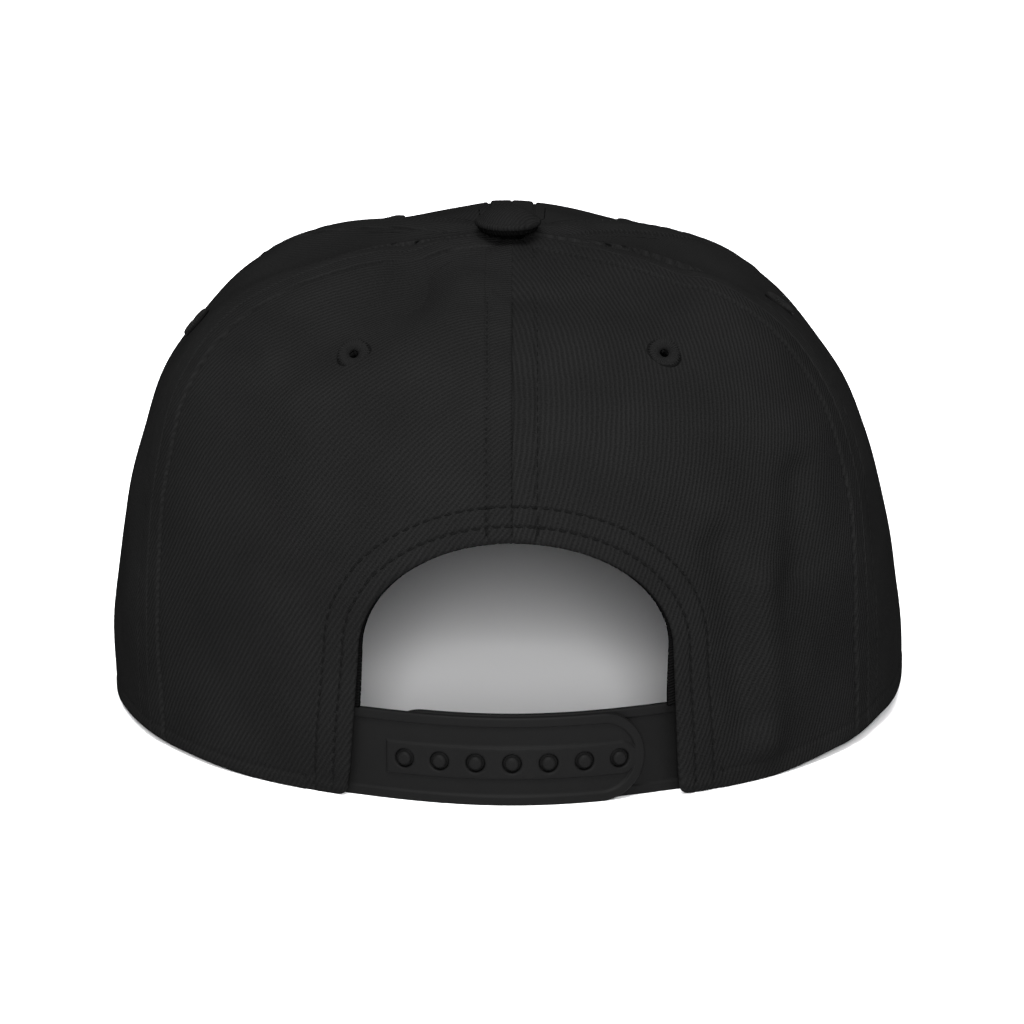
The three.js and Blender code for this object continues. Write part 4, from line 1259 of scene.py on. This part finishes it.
def outer_strap():
    """The plate with holes: sunk by the relief, but not in the border or the track, with a faint
    lip round each hole and rounded edges."""
    tip = -LAST_PEG - OUTER_BEYOND
    sewn = strap_end(1)
    around = np.concatenate([-HOLE_LINES, HOLE_LINES])
    s_lines = grid_lines([tip + EDGE_LINES, *[place + around for place in HOLE_PLACES],
                          LAST_PEG + TRACK_MARGIN + np.array([-0.2, -0.05, 0.05, 0.2])], tip, sewn, 0.6)
    track_edges = np.concatenate([HOLE_HEIGHT + k * (3.5 + np.array([-0.2, -0.1, 0, 0.1, 0.2]))
                                  for k in (-1, 1)])
    z_lines = grid_lines([EDGE_LINES, STRAP_HEIGHT - EDGE_LINES, HOLE_HEIGHT + around, track_edges],
                         0, STRAP_HEIGHT, 0.55)
    s, z = np.meshgrid(s_lines, z_lines)
    where_s, where_z = warp_end(s, z, tip, -1)
    hole_gap = np.full(s.shape, 1e9)
    hole_square = np.full(s.shape, 1e9)
    for place in HOLE_PLACES:
        square = np.maximum(np.abs(s - place), np.abs(z - HOLE_HEIGHT))
        over_s = where_s - place
        over_z = where_z - HOLE_HEIGHT
        radius = np.maximum(np.hypot(over_s, over_z), 1e-6)
        weight = 1 - smooth((square - 2.4) / 0.9)
        scale = mix(1.0, square / radius, weight)
        where_s = place + over_s * scale
        where_z = HOLE_HEIGHT + over_z * scale
        hole_square = np.minimum(hole_square, square)
        hole_gap = np.minimum(hole_gap, np.hypot(where_s - place, where_z - HOLE_HEIGHT) - HOLE_RADIUS)
    edge = edge_inside(where_s, where_z, tip, -1, sewn)
    recess = STRAP_RELIEF * smooth((edge - STRAP_BORDER + 0.15) / 0.55)
    recess = recess * (1 - smooth((track_inside(where_s, where_z) + 0.2) / 0.4))
    lip = -0.05 * bell(hole_gap - 0.7, 0.4)
    depth = recess + lip + rounded(edge, 0.45) + rounded(hole_gap, 0.5)
    front, _ = strap_point(where_s, where_z, depth)
    back, _ = strap_point(where_s, where_z, STRAP_THICK - rounded(edge, 0.36))
    ids = np.arange(s.size).reshape(s.shape)
    cells = cells_of(ids)
    middle = (hole_square[:-1, :-1] + hole_square[1:, 1:]) / 2
    cells = cells[(middle > HOLE_RADIUS - 0.001).ravel()]
    points, faces = closed_shell(front.reshape(-1, 3), back.reshape(-1, 3), cells)
    return make_piece("strap_outer_plate", points, faces, STRAP_PLASTIC)


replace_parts(outer_strap(), "strap_outer")


# %% Inner strap with its pegs
def inner_strap():
    """The plate behind, with a peg for each hole: a low collar and a short post with a domed head."""
    tip = LAST_PEG + INNER_BEYOND
    sewn = -strap_end(-1)
    s_lines = grid_lines([tip - EDGE_LINES], sewn, tip, 0.8)
    z_lines = grid_lines([EDGE_LINES, STRAP_HEIGHT - EDGE_LINES], 0, STRAP_HEIGHT, 0.8)
    s, z = np.meshgrid(s_lines, z_lines)
    where_s, where_z = warp_end(s, z, tip, 1)
    edge = edge_inside(where_s, where_z, tip, 1, sewn)
    near = STRAP_THICK + GAP
    recess = STRAP_RELIEF * smooth((edge - STRAP_BORDER + 0.15) / 0.55)
    front, _ = strap_point(where_s, where_z, near + recess + rounded(edge, 0.36))
    back, _ = strap_point(where_s, where_z, near + STRAP_THICK - rounded(edge, 0.36))
    ids = np.arange(s.size).reshape(s.shape)
    points, faces = closed_shell(front.reshape(-1, 3), back.reshape(-1, 3), cells_of(ids))
    arc = np.linspace(0, np.pi / 2, 9)
    head = np.stack([0.75 + 0.72 * np.cos(arc), -0.4 + 0.72 * np.sin(arc)], -1)
    profile = np.concatenate([[[1.93, -near - 0.8], [1.93, -0.75], [1.84, -0.6], [1.62, -0.52]], head,
                              [[0.4, 0.35], [0.12, 0.36]]])
    caps = []
    for place in HOLE_PLACES:
        peg, ring = turned(profile, 36)
        origin, axis = strap_point(np.array(place), np.array(HOLE_HEIGHT), np.array(0.0))
        peg = stand_on(peg, origin, axis)
        ring = ring + len(points)
        points = np.concatenate([points, peg])
        faces = np.concatenate([faces, cells_of(ring)])
        caps.extend([ring[0, :-1], ring[-1, :-1]])
    return make_piece("strap_inner_plate", points, faces, STRAP_PLASTIC, extra=caps)


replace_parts(inner_strap(), "strap_inner")

# %% [markdown]
# ## Sweatband and the tape of the arch
# Inside the rim a band of cotton is turned up against the head, and a ribbed tape covers the raw
# edge of the arch. Both are closed loops of a section carried round the head, just inside the
# cloth, and show through the arch.

# %% Sweatband
BAND_HEIGHT = 32.0
BAND_THICK = 1.2
BAND_FOOT = 0.8
BAND_SETBACK = 4.0
BAND_EASE = 20.0
BAND_CLEAR = 0.4


def level_at(turn, z):
    """Level of the crown that is at height z, by halving."""
    low = np.zeros_like(z)
    high = np.full_like(z, 0.9)
    for _ in range(22):
        middle = (low + high) / 2
        below = crown(turn, middle)[..., 2] < z
        low = np.where(below, middle, low)
        high = np.where(below, high, middle)
    return (low + high) / 2


def band_depth(turn):
    """Depth behind the cloth: deeper where the strap's ends are sewn in, and most on the right,
    where the inner plate lies a plate's thickness further in."""
    around = np.mod(turn, 2 * np.pi)
    left = around < np.pi
    folded = np.where(left, around, 2 * np.pi - around)
    side = np.where(left, 1, -1)
    strap = CLOTH + STRAP_CLEAR + np.where(left, 1, 2) * (STRAP_THICK + GAP) + GAP
    start = foot_turn_of(side, STRAP_TUCK + BAND_SETBACK)
    end = foot_turn_of(side, STRAP_TUCK + BAND_SETBACK + BAND_EASE)
    return mix(strap, FRONT_CLOTH + BAND_CLEAR, smooth((folded - start) / (end - start)))


def sweatband():
    """A rounded flat section of 26 points carried round the head from foot to foot of the arch."""
    turns = np.linspace(float(foot_turn_of(1, BAND_SETBACK)),
                        2 * np.pi - float(foot_turn_of(-1, BAND_SETBACK)), 280)
    arc = np.linspace(0, np.pi, 7)
    radius = BAND_THICK / 2
    top = np.stack([radius - radius * np.cos(arc), BAND_HEIGHT - radius + radius * np.sin(arc)], -1)
    foot = np.stack([radius + radius * np.cos(arc), BAND_FOOT + radius - radius * np.sin(arc)], -1)
    down = np.stack([np.full(6, BAND_THICK), np.linspace(26, 6, 6)], -1)
    rise = np.stack([np.full(6, 0.0), np.linspace(6, 26, 6)], -1)
    section = np.concatenate([top, down, foot, rise])
    turn = np.broadcast_to(turns[:, None], (280, len(section)))
    z = rim_height(turn) + section[None, :, 1]
    level = level_at(turn, z)
    slack = 0.35 * (1 + np.sin(turn * 23 + 1.3 * np.sin(turn * 7))) * smooth(section[None, :, 1] / 25)
    depth = band_depth(turn) + section[None, :, 0] + slack
    points = crown(turn, level) - crown_normal(turn, level) * depth[..., None]
    ids = np.arange(turn.size).reshape(turn.shape)
    closed = np.concatenate([ids, ids[:, :1]], axis=1)
    grain = np.stack([turn * 88, np.broadcast_to(section[None, :, 1], turn.shape)], -1)
    piece = make_piece("sweatband_cotton", points.reshape(-1, 3), cells_of(closed), BAND_COTTON,
                       grain.reshape(-1, 2), extra=[ids[0], ids[-1]])
    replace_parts(piece, "sweatband")
    return piece


band_piece = sweatband()

# %% Tape of the arch
ARCH_TAPE_WIDTH = 11.0
ARCH_TAPE_THICK = 0.75
TAPE_ABOVE_STRAP = 0.25
TAPE_STEP = 0.55


def arch_tape():
    """A strip behind the arch's edge, from the strap over the top and down again, whose ribs are
    0.11 * sin(2 pi * run / rib)."""
    base = STRAP_HEIGHT + TAPE_ABOVE_STRAP
    low = LEG_SHARE * base / ARCH_LEG_HEIGHT
    half = mix(low, 1.0, np.linspace(0, 1, 121))
    share = np.concatenate([half, half[-2::-1]])
    side = np.concatenate([np.ones(121), -np.ones(120)])
    _, z = arch_edge(share, side)
    fade = mix(ARCH_LEG_HEIGHT, ARCH_HEIGHT, 0.25) - z
    shows = arch_size(side, "tape_shows") * smooth(fade / (ARCH_HEIGHT / 3))
    across = np.array([0.0, 0.03, 0.08, 0.2, 0.35, 0.5, 0.65, 0.8, 0.92, 0.97, 1.0])
    away = mix(-shows[:, None], ARCH_TAPE_WIDTH, across[None, :])
    x, z = arch_offset(share[:, None], away, side[:, None])
    x = x * side[:, None]
    x[120] = 0.0
    z[0] = z[-1] = base
    turn, up = find_on_crown(x, z)
    points = crown(turn, up)
    out = crown_normal(turn, up)
    run = np.arange(len(share)) * TAPE_STEP
    ribs = 0.11 * np.sin(run * 2 * np.pi / TAPE_RIB)[:, None] * np.ones_like(turn)
    outer = points - out * (CLOTH + 2 * GAP - 0.1 + ribs)[..., None]
    inner = points - out * (CLOTH + 2 * GAP + ARCH_TAPE_THICK + ribs)[..., None]
    grain = np.stack([np.broadcast_to(run[:, None] * 1.6, turn.shape), away], -1).reshape(-1, 2)
    ids = np.arange(turn.size).reshape(turn.shape)
    shell, faces = closed_shell(outer.reshape(-1, 3), inner.reshape(-1, 3), cells_of(ids))
    piece = make_piece("arch_tape_ribbed", shell, faces, RIBBED_TAPE, np.concatenate([grain] * 2))
    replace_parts(piece, "arch_tape")
    return piece


tape_piece = arch_tape()

# %% [markdown]
# ## The peak
# The flat peak is a board covered in the same cloth and held by rows of stitches that follow its
# edge. Its top and underside are the same grid, rounded where they meet.

# %% Peak
PEAK_TUCK = 1.5
PEAK_CORNER_CLEAR = 1.5
PEAK_OUTLINE = np.array([
    [0.900, 0.000],
    [0.968, 0.130],
    [1.000, 0.290],
    [0.975, 0.470],
    [0.880, 0.670],
    [0.680, 0.850],
    [0.370, 0.965],
    [0.000, 1.000],
])
PEAK_ROWS = (4.5, 10.5, 16.5, 22.5, 28.5, 34.5, 40.5, 46.5)


def peak_edge(side):
    """Point of the peak's outline, side from 1 at the left corner through 0 to -1."""
    corner = crown(PEAK_TURN, 0.0)
    row = spline(PEAK_OUTLINE, 1 - np.abs(side))
    x = np.sign(side) * row[..., 0] * PEAK_HALF_WIDTH
    y = mix(corner[1] - PEAK_CORNER_CLEAR, -FRONT_LENGTH - PEAK_REACH, row[..., 1])
    return np.stack([x, y], -1)


def outline_distance(x, y, line):
    """Distance to the nearest short line of an outline."""
    nearest = np.full(x.shape, 1e9)
    for start, over in zip(line[:-1], np.diff(line, axis=0)):
        along = np.clip(((x - start[0]) * over[0] + (y - start[1]) * over[1]) / (over @ over), 0, 1)
        away = np.hypot(x - start[0] - over[0] * along, y - start[1] - over[1] * along)
        nearest = np.minimum(nearest, away)
    return nearest


def peak_board():
    """Grid from the crown's rim (v = 0) to the outline (v = 1), z = peak_top(x) less the rounding
    and the rows' grooves."""
    side = np.linspace(1, -1, 181)
    turn = np.pi - side * (np.pi - PEAK_TURN)
    level = crown_normal(turn, 0 * turn)
    level[:, 2] = 0
    level = level / np.linalg.norm(level, axis=1, keepdims=True)
    inner_edge = (crown(turn, 0 * turn) - level * PEAK_TUCK)[:, :2]
    outer_edge = peak_edge(side)
    v = 1 - spread(140.0, fine=0.12, near=0.75, far=0.85, edge=3.0) / 70
    v = v[v > 0.004]
    v = np.append(v, 0.0)[::-1]
    place = mix(inner_edge[None], outer_edge[None], v[:, None, None])
    x = place[..., 0]
    y = place[..., 1]
    line = peak_edge(np.linspace(1, -1, 241))
    edge = outline_distance(x, y, line)
    fall = rounded(edge, PEAK_THICK / 2)
    rows = sum(0.22 * bell(edge - row, 0.6) for row in PEAK_ROWS)
    rows = rows - 0.12 * smooth(1 - edge / 3.4)
    inner_fade = smooth(np.linalg.norm(place - inner_edge[None], axis=-1) / 4)
    relief = rows * inner_fade * smooth(edge / 1.5)
    top = np.stack([x, y, peak_top(x) - fall - relief], -1)
    bottom = np.stack([x, y, peak_top(x) - PEAK_THICK + fall + relief * 0.6], -1)
    ids = np.arange(x.size).reshape(x.shape)
    points, faces = closed_shell(top.reshape(-1, 3), bottom.reshape(-1, 3), cells_of(ids))
    grain = np.stack([-x, -y], -1).reshape(-1, 2)
    piece = make_piece("peak_cloth", points, faces, BLACK_TWILL, np.concatenate([grain] * 2))
    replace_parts(piece, "peak")
    return piece


peak_board()


# %% Stitches of the peak
def peak_rows():
    """Rows at set distances inside the outline, on the top and the underside, up to the crown."""
    line = peak_edge(np.linspace(1, -1, 1201))
    way = np.gradient(line, axis=0)
    way = way / np.linalg.norm(way, axis=1, keepdims=True)
    inward = np.stack([-way[:, 1], way[:, 0]], -1)
    if inward[600, 1] < 0:
        inward = -inward
    rows = []
    for offset in PEAK_ROWS:
        spots = line + inward * offset
        turn = np.arctan2(spots[:, 0] / PEAK_HALF_WIDTH, spots[:, 1] / FRONT_LENGTH)
        rim = crown(turn, 0 * turn)
        clear = np.hypot(spots[:, 0], spots[:, 1]) - np.hypot(rim[:, 0], rim[:, 1])
        near_edge = outline_distance(spots[:, 0], spots[:, 1], line[::6])
        keep = (clear > 0.6) & (near_edge > offset - 0.15) & (spots[:, 1] < line[0, 1])
        if keep.sum() < 12:
            continue
        spots = spots[keep]
        height = peak_top(spots[:, 0])
        slope = 2 * PEAK_RISE * spots[:, 0] / PEAK_HALF_WIDTH**2
        up = np.stack([slope, 0 * slope, 0 * slope + 1], -1)
        rows.append((np.column_stack([spots, height - 0.02]), up))
        rows.append((np.column_stack([spots, height - PEAK_THICK + 0.02]), -up))
    return rows


stitch_piece("stitches_peak", peak_rows(), pitch=2.8, length=2.4)

# %% [markdown]
# ## The cloth's cuts
# Each panel was cut flat from cloth and then sewn; the size of its cut and the area of its
# pattern piece are listed, and the share of that rectangle that the piece fills is printed.

# %% Sheets
CUTS = {
    "back_panel_left_cloth": (0.096, 0.156, 0.0095),
    "back_panel_right_cloth": (0.095, 0.154, 0.0090),
    "side_panel_left_cloth": (0.096, 0.161, 0.0099),
    "side_panel_right_cloth": (0.095, 0.153, 0.0093),
    "front_panel_left_cloth": (0.096, 0.164, 0.0104),
    "front_panel_right_cloth": (0.095, 0.163, 0.0101),
}
for name, (width, length, area) in CUTS.items():
    print(f"{name}: fills {area / width / length:.0%} of the rectangle it was cut from")

# %% [markdown]
# ## Floor, light and camera
# The photograph is taken with a long lens a little above the cap, on a white sweep so bright that
# only a slim contact shadow is left of it. A soft light stands behind the camera, low enough to
# reach through the arch and light the floor inside the cap, and a wider one high over the back
# lights the crown's top. The rest comes from a white room that is brightest overhead.

# %% Floor
FLOOR_WHITE = "E9E9EA"


def floor_material():
    """Matt white laminate, whose faint unevenness is under 1 percent."""
    material, tree, shader = new_material("matt white sweep")
    place = add_node(tree, "ShaderNodeTexCoord").outputs["Object"]
    cloud = add_node(tree, "ShaderNodeTexNoise", {"Vector": place, "Scale": 6.0, "Detail": 2.0})
    shade = sums(tree, "MULTIPLY_ADD", cloud.outputs[0], 0.01, 0.995)
    colour = add_node(tree, "ShaderNodeVectorMath", {
        0: linear(FLOOR_WHITE)[:3], "Scale": shade}, operation="SCALE")
    tree.links.new(colour.outputs[0], shader.inputs["Base Color"])
    shader.inputs["Roughness"].default_value = 0.9
    shader.inputs["Specular IOR Level"].default_value = 0.0
    return material


mesh = bpy.data.meshes.new("floor")
mesh.from_pydata([(-6, -8, 0), (6, -8, 0), (6, 5, 0), (-6, 5, 0)], [], [(0, 1, 2, 3)])
mesh.materials.append(floor_material())
floor = bpy.data.objects.new("floor", mesh)
bpy.context.scene.collection.objects.link(floor)
print("Floor of", floor.active_material.name)

# %% Light
ROOM_SIDES = 0.25
ROOM_TOP = 2.6
world = bpy.data.worlds.new("white room")
world.use_nodes = True
tree = world.node_tree
tree.nodes.clear()
toward = add_node(tree, "ShaderNodeTexCoord").outputs["Generated"]
upward = add_node(tree, "ShaderNodeSeparateXYZ", {0: toward}).outputs["Z"]
upward = sums(tree, "POWER", sums(tree, "MAXIMUM", upward, 0.0), 3.0)
strength = sums(tree, "MULTIPLY_ADD", upward, ROOM_TOP - ROOM_SIDES, ROOM_SIDES)
room = add_node(tree, "ShaderNodeBackground", {"Color": (1, 1, 1, 1), "Strength": strength})
add_node(tree, "ShaderNodeOutputWorld", {"Surface": room.outputs[0]})
bpy.context.scene.world = world


def soft_light(name, power, size, place, aim):
    """A rectangle of light that faces a point."""
    lamp = bpy.data.lights.new(name, "AREA")
    lamp.shape = "RECTANGLE"
    lamp.energy = power
    lamp.size = size[0]
    lamp.size_y = size[1]
    holder = bpy.data.objects.new(name, lamp)
    bpy.context.scene.collection.objects.link(holder)
    holder.location = place
    back = np.array(place, float) - np.array(aim, float)
    yaw = math.atan2(back[0], -back[1])
    tilt = math.atan2(math.hypot(back[0], back[1]), back[2])
    holder.rotation_euler = (tilt, 0, yaw)
    print(f"{name}: {power} W over {size[0] * size[1]:.2f} square metres")


soft_light("low key behind the camera", 91, (0.7, 0.7), (-0.02, 2.4, 0.925), (0, 0.05, 0.05))
soft_light("high fill", 86, (1.2, 0.7), (0.12, 0.85, 2.0), (0, 0.05, 0.05))

# %% Camera
SENSOR_WIDTH = 36
CAMERA_AWAY = 1.15
CAMERA_ELEVATION = math.radians(17)
AIM_HEIGHT = 40
MM_PER_PIXEL = 0.2226
FRAME_PIXELS = 1024
camera = bpy.data.cameras.new("camera")
camera.sensor_width = SENSOR_WIDTH
camera.lens = SENSOR_WIDTH * CAMERA_AWAY / MM_PER_PIXEL / FRAME_PIXELS * 1000
holder = bpy.data.objects.new("camera", camera)
bpy.context.scene.collection.objects.link(holder)
aim = np.array([0, MIDDLE, AIM_HEIGHT]) * 0.001
away = np.array([0, math.cos(CAMERA_ELEVATION), math.sin(CAMERA_ELEVATION)])
holder.location = aim + CAMERA_AWAY * away
holder.rotation_euler = (math.pi / 2 - CAMERA_ELEVATION, 0, math.pi)
camera.clip_start = 0.05
camera.clip_end = 30
bpy.context.scene.camera = holder
bpy.context.scene.view_settings.view_transform = "Standard"
print(f"Camera {holder.location[2]:.3f} m above the floor, lens {camera.lens:.1f} mm")
